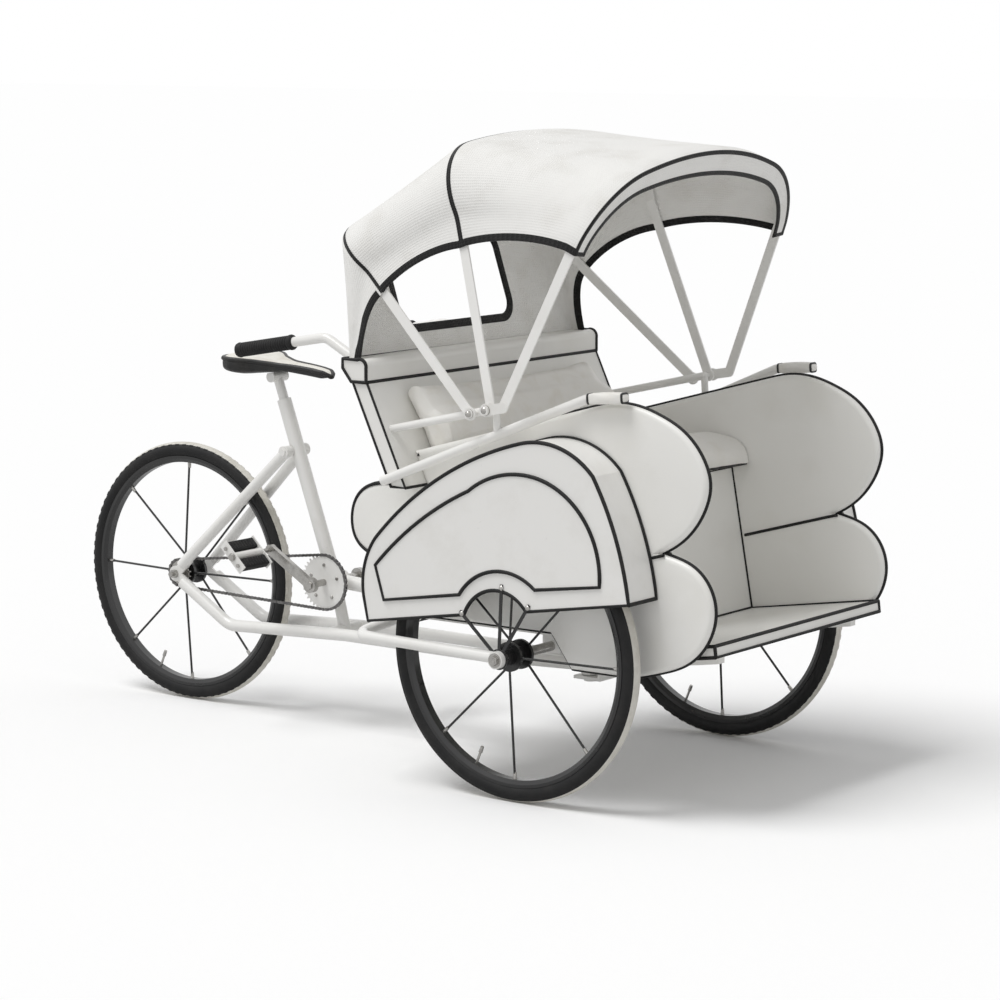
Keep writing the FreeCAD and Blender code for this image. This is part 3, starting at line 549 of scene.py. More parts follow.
# ---- Chain wheel bolts and crank caps ---------------------------------------------------------
# Five round-headed bolts hold the chain wheel to its spider; a plated cap closes each crank end.
BOLTS = 5
BOLT_RING_R = 0.046
BOLT_TURN = 0.3
SPINDLE_Y = 0.108
heads = []
for i in range(BOLTS):
    at = front_disc + in_plane(2 * math.pi * i / BOLTS + BOLT_TURN) * BOLT_RING_R
    for way in (-1, 1):
        heads.append(bar(at + Vector((0, way * 0.0012, 0)), at + Vector((0, way * 0.0042, 0)), 0.0052, 16,
                         0.0036))
for way in (-1, 1):
    at = Vector((front_disc.x, way * SPINDLE_Y, front_disc.z))
    heads.append(bar(at, at + Vector((0, way * 0.004, 0)), 0.0125, 6, 0.0118))
fit_out(join(heads, "crank_bolts"), nickel, "bright_steel", "crank")

# ---- Cabin walls, floor and seat box: painted wood --------------------------------------------
# Plywood panels, primed, filled and brushed with white gloss. The brush marks run along each
# panel, the grain shows through a little, and the edges carry a black rubber bead.
BEAD_R = 0.0048
WALL_ROUND = 0.0135
WALL_STEPS = 360
WALL_EASING = 18
CORNER = math.radians(38)
LOBE_SEAM = ((1.0193, 0.6257), (0.7494, 0.5500))
TAIL_X, TAIL_Z = 0.245, 0.415  # the rear edge's outer bead is behind and above these
TAIL_OUT = 0.0118
BEAD_END = {"right": 0.53, "left": 0.43}  # behind this x, beside the seat, a wall's top has no bead
BEAD_END_Z = 0.725


def painted_wood(name, colour, worn):
    """Brushed gloss on plywood: strokes and grain along the panel, yellowed in broad patches."""
    made, tree, shader, place, _ = worn_material(
        name, colour, worn, dict(Scale=per_metre(260), Detail=5.0), 0.5, 0.85, Roughness=0.38,
        Coat_Weight=0.15, Coat_Roughness=0.3)
    along = add(tree, "ShaderNodeMapping", {"Vector": place}, Scale=(0.12, 1.0, 1.0)).outputs[0]
    strokes = add(tree, "ShaderNodeTexNoise", {"Vector": along}, Scale=per_metre(4), Detail=4.0,
                  Roughness=0.6)
    grain = add(tree, "ShaderNodeTexNoise", {"Vector": along}, Scale=per_metre(30), Detail=7.0,
                Distortion=0.6)
    height = add(tree, "ShaderNodeMath", {0: strokes.outputs["Fac"], 1: grain.outputs["Fac"]},
                 operation="ADD")
    bump = add(tree, "ShaderNodeBump", {"Height": height.outputs[0]}, Strength=0.22, Distance=0.0006)
    tree.links.new(bump.outputs[0], shader.inputs["Normal"])
    return made


gloss_wood = painted_wood("brushed white gloss on plywood", "#f2f1ed", "#e5e3dc")
finish(gloss_wood, "seat_box", "floor_board", "bottom_board", "tail_panel", "seat_back", "back_top_rail",
       "side_panel_right", "side_panel_left")


def drawn(name, points, edges=(), faces=()):
    """A new piece from points and the edges or faces between them."""
    mesh = bpy.data.meshes.new(name)
    mesh.from_pydata([tuple(point) for point in points], edges, faces)
    return placed(name, mesh)


def copy_of(node, name):
    """A separate copy of a construction piece, its doubles merged and its flat faces whole."""
    made = placed(name, nodes[node].data.copy())
    made.data.materials.clear()
    with editing(made, "VERT"):
        bpy.ops.mesh.remove_doubles(threshold=0.00002)
        bpy.ops.mesh.dissolve_limited(angle_limit=math.radians(0.6))
    return made


def corded(piece, radius):
    """Turn a piece's loose edges into a round cord of a radius."""
    select_only(piece)
    bpy.ops.object.convert(target="CURVE")
    piece.data.dimensions = "3D"
    piece.data.bevel_depth = radius
    piece.data.bevel_resolution = 3
    piece.data.use_fill_caps = True
    select_only(piece)
    bpy.ops.object.convert(target="MESH")
    smooth_below(50)
    return bpy.context.object


def only_line(piece, point, normal):
    """Leave nothing of a piece but the line where a plane cuts it."""
    with editing(piece):
        bpy.ops.mesh.bisect(plane_co=point, plane_no=normal, clear_inner=True, clear_outer=True)
    return piece


def outline_of(node, y):
    """Ordered outline of a construction piece where the plane at y cuts it."""
    made = only_line(copy_of(node, "outline"), (0, y, 0), (0, 1, 0))
    with editing(made):
        bpy.ops.mesh.remove_doubles(threshold=0.0002)
    beside = {}
    for edge in made.data.edges:
        for first, second in (edge.vertices, reversed(edge.vertices)):
            beside.setdefault(first, []).append(second)
    order, last = [min(beside)], None
    while True:
        ahead = [i for i in beside[order[-1]] if i != last]
        last = order[-1]
        if not ahead or ahead[0] == order[0]:
            break
        order.append(ahead[0])
    points = [made.data.vertices[i].co.copy() for i in order]
    bpy.data.objects.remove(made)
    return points


def reaches(points):
    """How far along a line each of its points is."""
    out = [0.0]
    for a, b in zip(points, points[1:]):
        out.append(out[-1] + (b - a).length)
    return out


def evenly(points, count):
    """The same line in count even steps."""
    reach = reaches(points)
    out, j = [], 0
    for i in range(count + 1):
        want = reach[-1] * i / count
        while j < len(points) - 2 and reach[j + 1] < want:
            j += 1
        share = (want - reach[j]) / max(reach[j + 1] - reach[j], 1e-9)
        out.append(points[j].lerp(points[j + 1], min(1.0, share)))
    return out


def smoothed(points, count, passes):
    """An outline in even steps, its curves eased and its sharp corners kept."""
    loop = points + points[:1]
    reach = reaches(loop)
    sharp = set()
    for i, point in enumerate(points):
        if (point - points[i - 1]).angle(loop[i + 1] - point) > CORNER:
            sharp.add(round(reach[i] / reach[-1] * count) % count)
    out = evenly(loop, count)[:-1]
    for mark in sharp:
        out[mark] = min(points, key=lambda p: (p - out[mark]).length)
    for _ in range(passes):
        out = [p if i in sharp else (out[i - 1] + p * 2 + out[(i + 1) % count]) / 4
               for i, p in enumerate(out)]
    return out


for side, way in (("right", -1), ("left", 1)):
    low, high, middle = box_of("side_panel_" + side)
    line = smoothed(outline_of("side_panel_" + side, middle.y), WALL_STEPS, WALL_EASING)
    wall = drawn("padded_wall_" + side, [(p.x, low.y, p.z) for p in line], [],
                 [tuple(range(WALL_STEPS))])
    with editing(wall, "FACE"):
        bpy.ops.mesh.extrude_region_move(TRANSFORM_OT_translate={"value": (0, high.y - low.y, 0)})
        face_outwards()
    choose_faces(wall.data, lambda face: abs(face.normal.y) > 0.99)
    with editing(wall, None, None):
        bpy.ops.mesh.region_to_loop()
        bpy.ops.mesh.bevel(offset=WALL_ROUND, segments=5, profile=0.5, clamp_overlap=False)
        bpy.ops.mesh.select_all(action="SELECT")
        bpy.ops.mesh.remove_doubles(threshold=0.0001)
        bpy.ops.mesh.normals_make_consistent(inside=False)
    smooth_below(32)
    fit_out(wall, gloss_wood, "body_enamel", "cabin", "side_panel_" + side)
    beaded = [i for i, p in enumerate(line) if p.x > BEAD_END[side] or p.z < BEAD_END_Z]
    beads = [corded(drawn("bead", [(p.x, middle.y, p.z) for p in line],
                          [(i, (i + 1) % WALL_STEPS) for i in beaded]), BEAD_R)]
    for y in (low.y, high.y):
        (front_x, front_z), (rear_x, rear_z) = LOBE_SEAM
        beads.append(bar((front_x, y, front_z), (rear_x, y, rear_z), BEAD_R * 0.8))
    behind = [i for i, p in enumerate(line) if p.x < TAIL_X and p.z > TAIL_Z]
    first = next(i for i in behind if (i - 1) % WALL_STEPS not in behind)
    tail = [line[(first + k) % WALL_STEPS] for k in range(len(behind))]
    beads.append(corded(drawn("tail", [(p.x + 0.003, middle.y + way * TAIL_OUT, p.z) for p in tail],
                              [(k, k + 1) for k in range(len(tail) - 1)]), BEAD_R * 0.9))
    fit_out(join(beads, "wall_bead_" + side), black_rubber, "black_rubber", "cabin")

# ---- Mudguards' beading -----------------------------------------------------------------------
# The rolled edges of each mudguard and the border of its raised field are lined with black
# rubber beading, which is pressed over the sheet.
MUDGUARD_ENDS = ((1.0005, 0.523), (0.2375, 0.405))
for side, way in (("right", -1), ("left", 1)):
    low, high, middle = box_of("fender_" + side)
    outside, inside = (low.y, high.y) if way < 0 else (high.y, low.y)
    outer, inner = outside - way * 0.0035, inside + way * 0.0030
    for name, y in (("field", outside - way * 0.0010), ("outer", outer), ("inner", inner)):
        rim = copy_of("fender_" + side, "mudguard_bead_%s_%s" % (name, side))
        bead = corded(only_line(rim, (0, y, 0), (0, 1, 0)), BEAD_R)
        fit_out(bead, black_rubber, "black_rubber", "cabin")
    ends = [bar((x, outer, z), (x, inner, z), BEAD_R) for x, z in MUDGUARD_ENDS]
    fit_out(join(ends, "mudguard_bead_ends_" + side), black_rubber, "black_rubber", "cabin")

# ---- Hood canvas ------------------------------------------------------------------------------
# Proofed cotton canvas: a front and a rear panel meet over the middle bow, a deep valance faces
# forward, and a curtain with a bound window hangs from the rear bow to the top rail.
HOOD_LINES = {  # foot x and z, lean in degrees, and how far up the bow the canvas ends
    "front": (0.6225, 0.949, 23.8, 0.403),
    "middle": (0.5725, 0.940, -17.6, 0.395),
    "rear": (0.5175, 0.927, -48.1, 0.404),
}
HOOD_STEPS = 120
BOW_STEPS = 480
BOW_EASING = 40
BOW_RAYS = 360
CANVAS_T = 0.0022
ON_STEEL = 0.0034
ON_CANVAS = ON_STEEL + 0.0018
HEM_TAPE = 0.017
SAG = 0.004


def canvas_weave(name, colour, dusty):
    """Plain weave of 1 mm threads, drawn 7 mm apart so that it shows, over soft puckers."""
    made, tree, shader, _, puckers = worn_material(
        name, colour, dusty, dict(Scale=per_metre(90), Detail=4.0), 0.5, 0.85, Roughness=0.86,
        Sheen_Weight=0.25, Specular_IOR_Level=0.25)
    cut = add(tree, "ShaderNodeTexCoord").outputs["UV"]
    warp, weft = (add(tree, "ShaderNodeTexWave", {"Vector": cut}, Scale=per_metre(7) * math.pi / 10,
                      Distortion=0.6, bands_direction=way, Detail=1.0).outputs["Fac"] for way in "XY")
    threads = add(tree, "ShaderNodeMath", {0: warp, 1: weft}, operation="MAXIMUM").outputs[0]
    height = add(tree, "ShaderNodeMath", {0: threads, 1: puckers, 2: puckers}, operation="MULTIPLY_ADD")
    bump = add(tree, "ShaderNodeBump", {"Height": height.outputs[0]}, Strength=0.55, Distance=0.003)
    tree.links.new(bump.outputs[0], shader.inputs["Normal"])
    return made


white_canvas = canvas_weave("proofed white cotton canvas", "#f4f3f0", "#eae8e3")
black_tape = canvas_weave("black cotton webbing tape", "#101010", "#262524")


def hood_axes(name):
    """A bow's foot, the way up its plane, the way ahead of it and how far up the canvas ends."""
    foot_x, foot_z, lean, hem = HOOD_LINES[name]
    a = math.radians(lean)
    return Vector((foot_x, 0, foot_z)), Vector((math.sin(a), 0, math.cos(a))), in_plane(-a), hem


def eased(line, passes):
    """The same line with its wiggles smoothed and its ends kept."""
    for _ in range(passes):
        line = [line[0], *((a + b * 2 + c) / 4 for a, b, c in zip(line, line[1:], line[2:])), line[-1]]
    return line


def over_bow(name):
    """Line over a bow from its right hem to its left, and the way out from the steel along it."""
    foot, up, ahead, hem = hood_axes(name)
    centre = foot + up * hem
    found = []
    for i in range(BOW_RAYS + 1):
        turn = math.radians(i * 180 / BOW_RAYS - 90)
        way = Vector((0, math.sin(turn), 0)) + up * math.cos(turn)
        found.append(nodes["hood_bow_" + name].ray_cast(centre + way, -way)[1])
    line = eased(evenly(found, BOW_STEPS), BOW_EASING)
    outward = [ahead.cross(line[min(i + 1, BOW_STEPS)] - line[max(i - 1, 0)]).normalized()
               for i in range(BOW_STEPS + 1)]
    if outward[BOW_STEPS // 2].dot(up) < 0:
        outward = [-out for out in outward]
    return line, outward


bow_lines = {name: over_bow(name) for name in HOOD_LINES}


def between(line, t):
    """Place on a line, t of its steps from its start."""
    j = min(int(t), len(line) - 2)
    return line[j].lerp(line[j + 1], t - j)


def bow_row(name, ahead_by, proud=ON_STEEL):
    """Row of cloth points over a bow, moved ahead of its middle and out from it."""
    line, outward = bow_lines[name]
    ahead = hood_axes(name)[2]
    marks = [i / HOOD_STEPS * BOW_STEPS for i in range(HOOD_STEPS + 1)]
    return [between(line, t) + between(outward, t).normalized() * proud + ahead * ahead_by
            for t in marks]


def sagging(first, last, count, sag, hem_rise):
    """Rows between two rows: pulled in towards the middle, and their ends cut back in a curve."""
    rows = []
    middle = sum(first + last, Vector()) / (len(first) + len(last))
    middle.y = 0
    for k in range(1, count):
        f = k / count
        swell = 4 * f * (1 - f)
        straight = [a.lerp(b, f) for a, b in zip(first, last)]
        cut = hem_rise * swell / reaches(straight)[-1]
        row = []
        for i in range(HOOD_STEPS + 1):
            place = between(straight, (cut + (1 - 2 * cut) * i / HOOD_STEPS) * HOOD_STEPS)
            hold = math.sin(math.pi * i / HOOD_STEPS) ** 0.4
            row.append(place + (middle - place).normalized() * sag * swell * hold)
        rows.append(row)
    return rows


def map_cut(piece, across, place_of):
    """UV map of a piece's cut in metres, from each point's row and its place in the row."""
    cut = piece.data.uv_layers.new(name="cut")
    for loop in piece.data.loops:
        cut.data[loop.index].uv = place_of(*divmod(loop.vertex_index, across))


def cloth(rows, name, thick=CANVAS_T):
    """Sheet through rows of points, with its cut in metres as its UV map."""
    steps = len(rows[0])
    starts = [r * steps + c for r in range(len(rows) - 1) for c in range(steps - 1)]
    made = drawn(name, sum(rows, []), [], [(a, a + 1, a + 1 + steps, a + steps) for a in starts])
    width, length = reaches(rows[0]), reaches([row[steps // 2] for row in rows])
    map_cut(made, steps, lambda r, c: (width[c], length[r]))
    modified(made, "SOLIDIFY", thickness=thick, offset=0.0, use_even_offset=True)
    smooth_below(35)
    return made


def binding(edge, inner, name, width, thick=0.0048, closed=False):
    """Tape folded over the edge of a cloth: edge is its line, inner is a line just inside it."""
    count = len(edge)
    half, lip = thick / 2, 0.0012
    section = ((-lip, -half * 0.6), (-lip, half * 0.6), (lip, half), (width - lip, half),
               (width, 0.25 * half), (width, -0.25 * half), (width - lip, -half), (lip, -half))
    n = len(section)
    points, faces = [], []
    for i in range(count):
        back = edge[(i - 1) % count if closed else max(i - 1, 0)]
        on = edge[(i + 1) % count if closed else min(i + 1, count - 1)]
        along = (on - back).normalized()
        inward = inner[i] - edge[i]
        inward = (inward - along * inward.dot(along)).normalized()
        up = along.cross(inward)
        points += [edge[i] + inward * u + up * v for u, v in section]
    for i in range(count if closed else count - 1):
        here, there = i * n, (i + 1) % count * n
        faces += [(here + k, there + k, there + (k + 1) % n, here + (k + 1) % n) for k in range(n)]
    if not closed:
        faces += [tuple(range(n)), tuple(range(count * n - 1, count * n - 1 - n, -1))]
    made = drawn(name, points, [], faces)
    step = (edge[1] - edge[0]).length
    map_cut(made, n, lambda i, k: (i * step, section[k][0]))
    with editing(made):
        face_outwards()
    smooth_below(50)
    return made


def side_hems(rows, name, width):
    """Tape on both side hems of a panel."""
    return [binding([row[end] for row in rows], [row[beside] for row in rows], name, width)
            for end, beside in ((0, 1), (-1, -2))]


def seam_tape(name, width, body):
    """Tape sewn down over the seam on a bow."""
    made = cloth([bow_row(name, width * (0.5 - k / 3), ON_CANVAS) for k in range(4)],
                 "hood_seam_tape_" + name, 0.0014)
    fit_out(made, black_tape, "hood_canvas", body)
    return made


def across_joint(piece, turn, still, moved, body_still, body_moved):
    """Put a panel's place into its mesh. How far the rows still and the rows moved reach in the direction
    turn, in degrees below the level way ahead, is worked out but not used: the panel does not follow the
    bows or fold."""
    way = in_plane(-math.radians(turn))
    start = max(place.dot(way) for row in still for place in row)
    end = min(place.dot(way) for row in moved for place in row)
    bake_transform(piece)


front_rows = [bow_row("front", reach) for reach in (0.0135, 0.004, -0.012)]
front_rows += sagging(bow_row("front", -0.012), bow_row("middle", 0.012), 16, SAG, 0.018)
front_rows += [bow_row("middle", reach) for reach in (0.012, 0.0003)]
rear_rows = [bow_row("middle", reach) for reach in (-0.0003, -0.012)]
rear_rows += sagging(bow_row("middle", -0.012), bow_row("rear", 0.012), 14, SAG, 0.019)
rear_rows += [bow_row("rear", reach) for reach in (0.012, 0.0003)]
for rows, label, turn, moved, bodies, bows, flat, area, seam in (
        (front_rows, "front", -4, 3, ("hood_middle", "hood_front"), ["hood_bow_middle", "hood_bow_front"],
         (1.236, 0.531), 0.552, ("middle", 0.012, "hood_middle")),
        (rear_rows, "rear", -23, 2, ("cabin", "hood_middle"), ["hood_bow_rear", "hood_bow_middle"],
         (1.236, 0.399), 0.438, ("rear", 0.009, "cabin"))):
    panel = cloth(rows, "hood_panel_" + label)
    panel.data.materials.append(white_canvas)
    taped = join(side_hems(rows, "hem", HEM_TAPE), "hood_hem_tape_" + label)
    taped.data.materials.append(black_tape)
    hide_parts("hood_canvas_" + label)
    seam_tape(*seam)
    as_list(bows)
    for piece in (panel, taped):
        across_joint(piece, turn, rows[-2:], rows[:moved], *bodies)

# The valance is a band cut deeper at the crown than at its ends, taped along both its edges.
VALANCE_AHEAD = 0.0150
VALANCE_ENDS, VALANCE_CROWN = 0.038, 0.020
valance_out = bow_row("front", VALANCE_AHEAD, 0.0050)
valance_in = []
for i, place in enumerate(bow_row("front", VALANCE_AHEAD, 0.0)):
    depth = VALANCE_ENDS + VALANCE_CROWN * math.sin(math.pi * (i / HOOD_STEPS)) ** 1.2
    valance_in.append(place - bow_lines["front"][1][round(i / HOOD_STEPS * BOW_STEPS)] * depth)
valance_in = eased(valance_in, 6)
valance_rows = [[a.lerp(b, k / 5) for a, b in zip(valance_in, valance_out)] for k in range(6)]
valance = cloth(valance_rows, "hood_valance_band")
valance_tapes = join([binding(valance_rows[-1], valance_rows[-2], "tape", 0.010),
                      binding(valance_rows[0], valance_rows[1], "tape", 0.011),
                      *side_hems(valance_rows, "tape", 0.010)], "hood_valance_tape")
fit_out(valance, white_canvas, "hood_canvas", "hood_front", "hood_valance")
fit_out(valance_tapes, black_tape, "hood_canvas", "hood_front")

# ---- Back curtain -----------------------------------------------------------------------------
# One piece of canvas from the rear bow down round the top rail, studded at its foot. Its window
# is cut out and bound in wide black tape, and its free side edges curve in.
CURTAIN_FOOT = ((0.1787, 0.473), (0.1527, 0.473), (0.1475, 0.472), (0.1427, 0.469), (0.1397, 0.4645),
                (0.1387, 0.459))
CURTAIN_Z = 1.035
WINDOW_HALF, WINDOW_LOW, WINDOW_HIGH, WINDOW_R = 0.225, 1.095, 1.300, 0.040
WINDOW_STEPS = 240
CORNER_STEPS = 18


def curtain_foot():
    """The curtain's foot as a row: its sides, round corners and long back edge."""
    right = [Vector((x, -y, CURTAIN_Z)) for x, y in CURTAIN_FOOT]
    points = right + [Vector((p.x, -p.y, p.z)) for p in reversed(right)]
    reach = reaches(points)
    marks = ((0.0, 0.0), (0.056, reach[1]), (0.20, reach[5]), (0.80, reach[6]), (0.944, reach[10]),
             (1.0, reach[-1]))
    row = []
    for i in range(HOOD_STEPS + 1):
        t = i / HOOD_STEPS
        (t0, reach0), (t1, reach1) = next(pair for pair in list(zip(marks, marks[1:]))[::-1]
                                          if pair[0][0] <= t)
        want = reach0 + (reach1 - reach0) * ((t - t0) / (t1 - t0))
        j = max(j for j in range(len(points) - 1) if reach[j] <= want + 1e-9)
        row.append(points[j].lerp(points[j + 1], min(1.0, (want - reach[j]) / (reach[j + 1] - reach[j]))))
    return row


def window_outline(grow):
    """Points round the window as y and z in even steps, grown outwards."""
    out = []
    half, low, high = WINDOW_HALF + grow, WINDOW_LOW - grow, WINDOW_HIGH + grow
    r = WINDOW_R + grow
    for y, z, start in ((half - r, high - r, 0), (r - half, high - r, 90), (r - half, low + r, 180),
                        (half - r, low + r, 270)):
        for i in range(CORNER_STEPS + 1):
            a = math.radians(start + 90 * i / CORNER_STEPS)
            out.append(Vector((0, y + r * math.cos(a), z + r * math.sin(a))))
    return [(p.y, p.z) for p in evenly(out + out[:1], WINDOW_STEPS)[:-1]]


curtain_rows = [bow_row("rear", reach) for reach in (-0.0003, -0.012)]
curtain_rows += sagging(curtain_rows[-1], curtain_foot(), 26, 0.005, 0.022)
curtain_rows.append(curtain_foot())
curtain = cloth(curtain_rows, "hood_curtain_back")
curtain.data.materials.append(white_canvas)
bpy.context.view_layer.update()


def from_behind(y, z):
    """Where the curtain's back face is, seen level from behind."""
    return curtain.ray_cast(Vector((-0.6, y, z)), Vector((1, 0, 0)))[:2]


edge, inner = ([from_behind(y, z)[1] + Vector((CANVAS_T / 2, 0, 0)) for y, z in window_outline(grow)]
               for grow in (0.0, 0.02))
bound = binding(edge, inner, "hood_window_tape", 0.021, 0.0050, closed=True)
hems = join(side_hems(curtain_rows[1:], "hem", 0.019), "hood_curtain_tape")
n = WINDOW_STEPS
cutter = drawn("window_cutter", [(x, y, z) for x in (-0.4, 0.4) for y, z in window_outline(0.0)], [],
               [tuple(range(n)), tuple(range(2 * n - 1, n - 1, -1))]
               + [(i + n, (i + 1) % n + n, (i + 1) % n, i) for i in range(n)])
with editing(cutter):
    face_outwards()
modified(curtain, "BOOLEAN", object=cutter, operation="DIFFERENCE", solver="EXACT")
bpy.data.objects.remove(cutter)
curtain_tapes = join([bound, hems], "hood_curtain_tapes")
curtain_tapes.data.materials.append(black_tape)
fit_out(curtain, None, "hood_canvas", "cabin", "hood_curtain")
fit_out(curtain_tapes, None, "hood_canvas", "cabin")

# ---- Seat and back cushions -------------------------------------------------------------------
# Foam in sewn covers of cream-white vinyl, the seat's with black piping round its foot. They
# swell between their corners, and lie on the seat box and against the seat back.
STUFFING_FRAMES = 20
PRESSURE = 4.0
STIFFNESS = 40.0
VOXEL = 0.0055
SHRINK = 0.008
SWELL = 0.024
SEAT_FRONT = 0.009  # its stuffing pushes the seat cushion's front edge forward by this
PIPING_RISE = 0.014
SEAT_R = 0.0034
LIFT = 0.0005  # the seat cushion is this far above its board
CURVE_X, CURVE_SLOPE = 0.7075, 0.27  # where and how steeply its underside rises in front
LEAN_X, LEAN_Z, LEAN_SLOPE = 0.3255, 0.733, 0.471  # the face of the leaning seat back


def vinyl(name, colour, worn, grain_mm=2.2):
    """Embossed vinyl: leather-like cells that catch the light, over soft creases."""
    made, tree, shader, place, creases = worn_material(
        name, colour, worn, dict(Scale=per_metre(55), Detail=5.0, Distortion=0.4), 0.5, 0.8,
        Roughness=0.46, Coat_Weight=0.08)
    cells = add(tree, "ShaderNodeTexVoronoi", {"Vector": place}, Scale=per_metre(grain_mm),
                feature="DISTANCE_TO_EDGE")
    cell_edge = add(tree, "ShaderNodeMapRange", {"Value": cells.outputs["Distance"]}, From_Max=0.12)
    height = add(tree, "ShaderNodeMath", {0: creases, 1: 2.6, 2: cell_edge.outputs[0]},
                 operation="MULTIPLY_ADD")
    bump = add(tree, "ShaderNodeBump", {"Height": height.outputs[0]}, Strength=0.32, Distance=0.0007)
    tree.links.new(bump.outputs[0], shader.inputs["Normal"])
    return made


cream_vinyl = vinyl("embossed cream-white vinyl", "#f3f1ec", "#e9e5dc")
black_vinyl = vinyl("black piping vinyl", "#111111", "#232221", 1.6)


def stuffed(node, name, voxel, shrink, cap):
    """A construction piece's shape in cloth, blown up by its stuffing as far as cap allows."""
    made = copy_of(node, name)
    select_only(made)
    low, high, middle = box_of(node)
    scale = [1 - 2 * shrink / size for size in high - low]
    for vertex in made.data.vertices:
        away = vertex.co - middle
        vertex.co = middle + Vector([away[i] * scale[i] for i in range(3)])
    made.data.remesh_voxel_size = voxel
    bpy.ops.object.voxel_remesh()
    start = [vertex.co.copy() for vertex in made.data.vertices]
    fabric = made.modifiers.new("stuffing", "CLOTH")
    fabric.settings.use_pressure = True
    fabric.settings.uniform_pressure_force = PRESSURE
    fabric.settings.effector_weights.gravity = 0.0
    fabric.settings.tension_stiffness = STIFFNESS
    fabric.settings.compression_stiffness = STIFFNESS
    fabric.settings.quality = 4
    fabric.point_cache.frame_start = 1
    fabric.point_cache.frame_end = STUFFING_FRAMES
    for frame_number in range(1, STUFFING_FRAMES + 1):
        scene.frame_set(frame_number)
    select_only(made)
    bpy.ops.object.modifier_apply(modifier="stuffing")
    for vertex, before in zip(made.data.vertices, start):
        move = vertex.co - before
        if move.length > cap:
            vertex.co = before + move * (cap / move.length)
    scene.frame_set(1)
    modified(made, "SMOOTH", iterations=6)
    modified(made, "SUBSURF", levels=1, render_levels=1)
    bpy.ops.object.shade_smooth()
    return made


def filling(piece, low, high):
    """Stretch a soft piece so that it just fills a box."""
    points = piece.data.vertices
    for i in range(3):
        least, most = min(v.co[i] for v in points), max(v.co[i] for v in points)
        for vertex in points:
            vertex.co[i] = low[i] + (high[i] - low[i]) * ((vertex.co[i] - least) / (most - least))


def kept_between(piece, low, high):
    """Press a soft piece flat against what it lies on: no point of it leaves the box."""
    for vertex in piece.data.vertices:
        for i in range(3):
            vertex.co[i] = min(max(vertex.co[i], low[i]), high[i])


def piping(piece, name, point, normal, radius):
    """Cord sewn round a soft piece where a plane meets it."""
    return corded(only_line(placed(name, piece.data.copy()), point, normal), radius)


low, high, middle = box_of("seat_cushion")
seat = stuffed("seat_cushion", "seat_cushion_stuffed", VOXEL, SHRINK, SWELL)
filling(seat, low - Vector((-0.001, 0.008, 0.020)), high + Vector((SEAT_FRONT, 0.008, 0.006)))
kept_between(seat, low + Vector((0, 0, LIFT)), high + Vector((SEAT_FRONT, 0, 0.010)))
for vertex in seat.data.vertices:
    vertex.co.z = max(vertex.co.z, low.z + LIFT + max(0.0, vertex.co.x - CURVE_X) * CURVE_SLOPE)
fit_out(seat, cream_vinyl, "cushion_vinyl", "cabin", "seat_cushion")
rope = piping(seat, "seat_cushion_piping", (0, 0, low.z + PIPING_RISE), (0, 0, 1), SEAT_R)
fit_out(rope, black_vinyl, "cushion_vinyl", "cabin")

low, high, middle = box_of("back_cushion")
back = stuffed("back_cushion", "back_cushion_stuffed", VOXEL, SHRINK, SWELL)
kept_between(back, low, high + Vector((0, 0, 0.004)))
for vertex in back.data.vertices:
    vertex.co.x = max(vertex.co.x, LEAN_X - (vertex.co.z - LEAN_Z) * LEAN_SLOPE)
fit_out(back, cream_vinyl, "cushion_vinyl", "cabin", "back_cushion")

# ---- Arm pads ---------------------------------------------------------------------------------
# A short sleeve of foam and white vinyl round the level end of each armrest, drawn tight at both
# its ends over black piping.
PAD_WAY = in_plane(math.radians(5.0))
PAD_REACH = 0.048
PAD_R = 0.0030
for side in ("right", "left"):
    middle = box_of("arm_pad_" + side)[2]
    pad = stuffed("arm_pad_" + side, "arm_pad_stuffed_" + side, 0.0040, 0.0015, 0.005)
    fit_out(pad, cream_vinyl, "arm_vinyl", "cabin", "arm_pad_" + side)
    cords = [piping(pad, "cord", middle + PAD_WAY * reach, PAD_WAY, PAD_R)
             for reach in (-PAD_REACH, PAD_REACH)]
    fit_out(join(cords, "arm_pad_piping_" + side), black_vinyl, "arm_vinyl", "cabin")

# ---- Saddle -----------------------------------------------------------------------------------
# Moulded saddle: a pale leather top over a black leather skirt, sewn together over black piping,
# dipped in the middle and flared up behind.
SADDLE_BACK = -0.6145
SADDLE_PLAN = ((-0.000, 0.0), (0.002, 0.046), (0.008, 0.078), (0.024, 0.101), (0.050, 0.1085),
               (0.074, 0.100), (0.105, 0.070), (0.150, 0.046), (0.202, 0.034), (0.258, 0.027),
               (0.294, 0.0230), (0.310, 0.014), (0.316, 0.0))
SADDLE_TOP = ((0.0, 0.9680), (0.03, 0.9715), (0.07, 0.9690), (0.12, 0.9590), (0.17, 0.9500),
              (0.22, 0.9470), (0.27, 0.9430), (0.30, 0.9380), (0.316, 0.9290))
SADDLE_FOOT = ((0.0, 0.9310), (0.03, 0.9200), (0.07, 0.9170), (0.12, 0.9215), (0.18, 0.9270),
               (0.24, 0.9205), (0.29, 0.9130), (0.316, 0.9150))
SADDLE_CORD_R = 0.0062
BOXY_ACROSS, BOXY_UP = 0.62, 0.55  # below 1 these make the section squarer than an ellipse
WAIST_UP = 0.55  # share of the saddle's height at which it is widest
NOSE_HALF = 0.030  # where it is narrower than this on each side its height tapers too
DISH, DISH_HALF = 0.004, 0.012
TOP_FROM = 0.30  # sine of the angle round the saddle's section at which its top starts


def table(rows, x):
    """Value at a position from a table of positions and values."""
    if x <= rows[0][0]:
        return rows[0][1]
    for (x0, v0), (x1, v1) in zip(rows, rows[1:]):
        if x <= x1:
            return v0 + (v1 - v0) * ((x - x0) / (x1 - x0))
    return rows[-1][1]


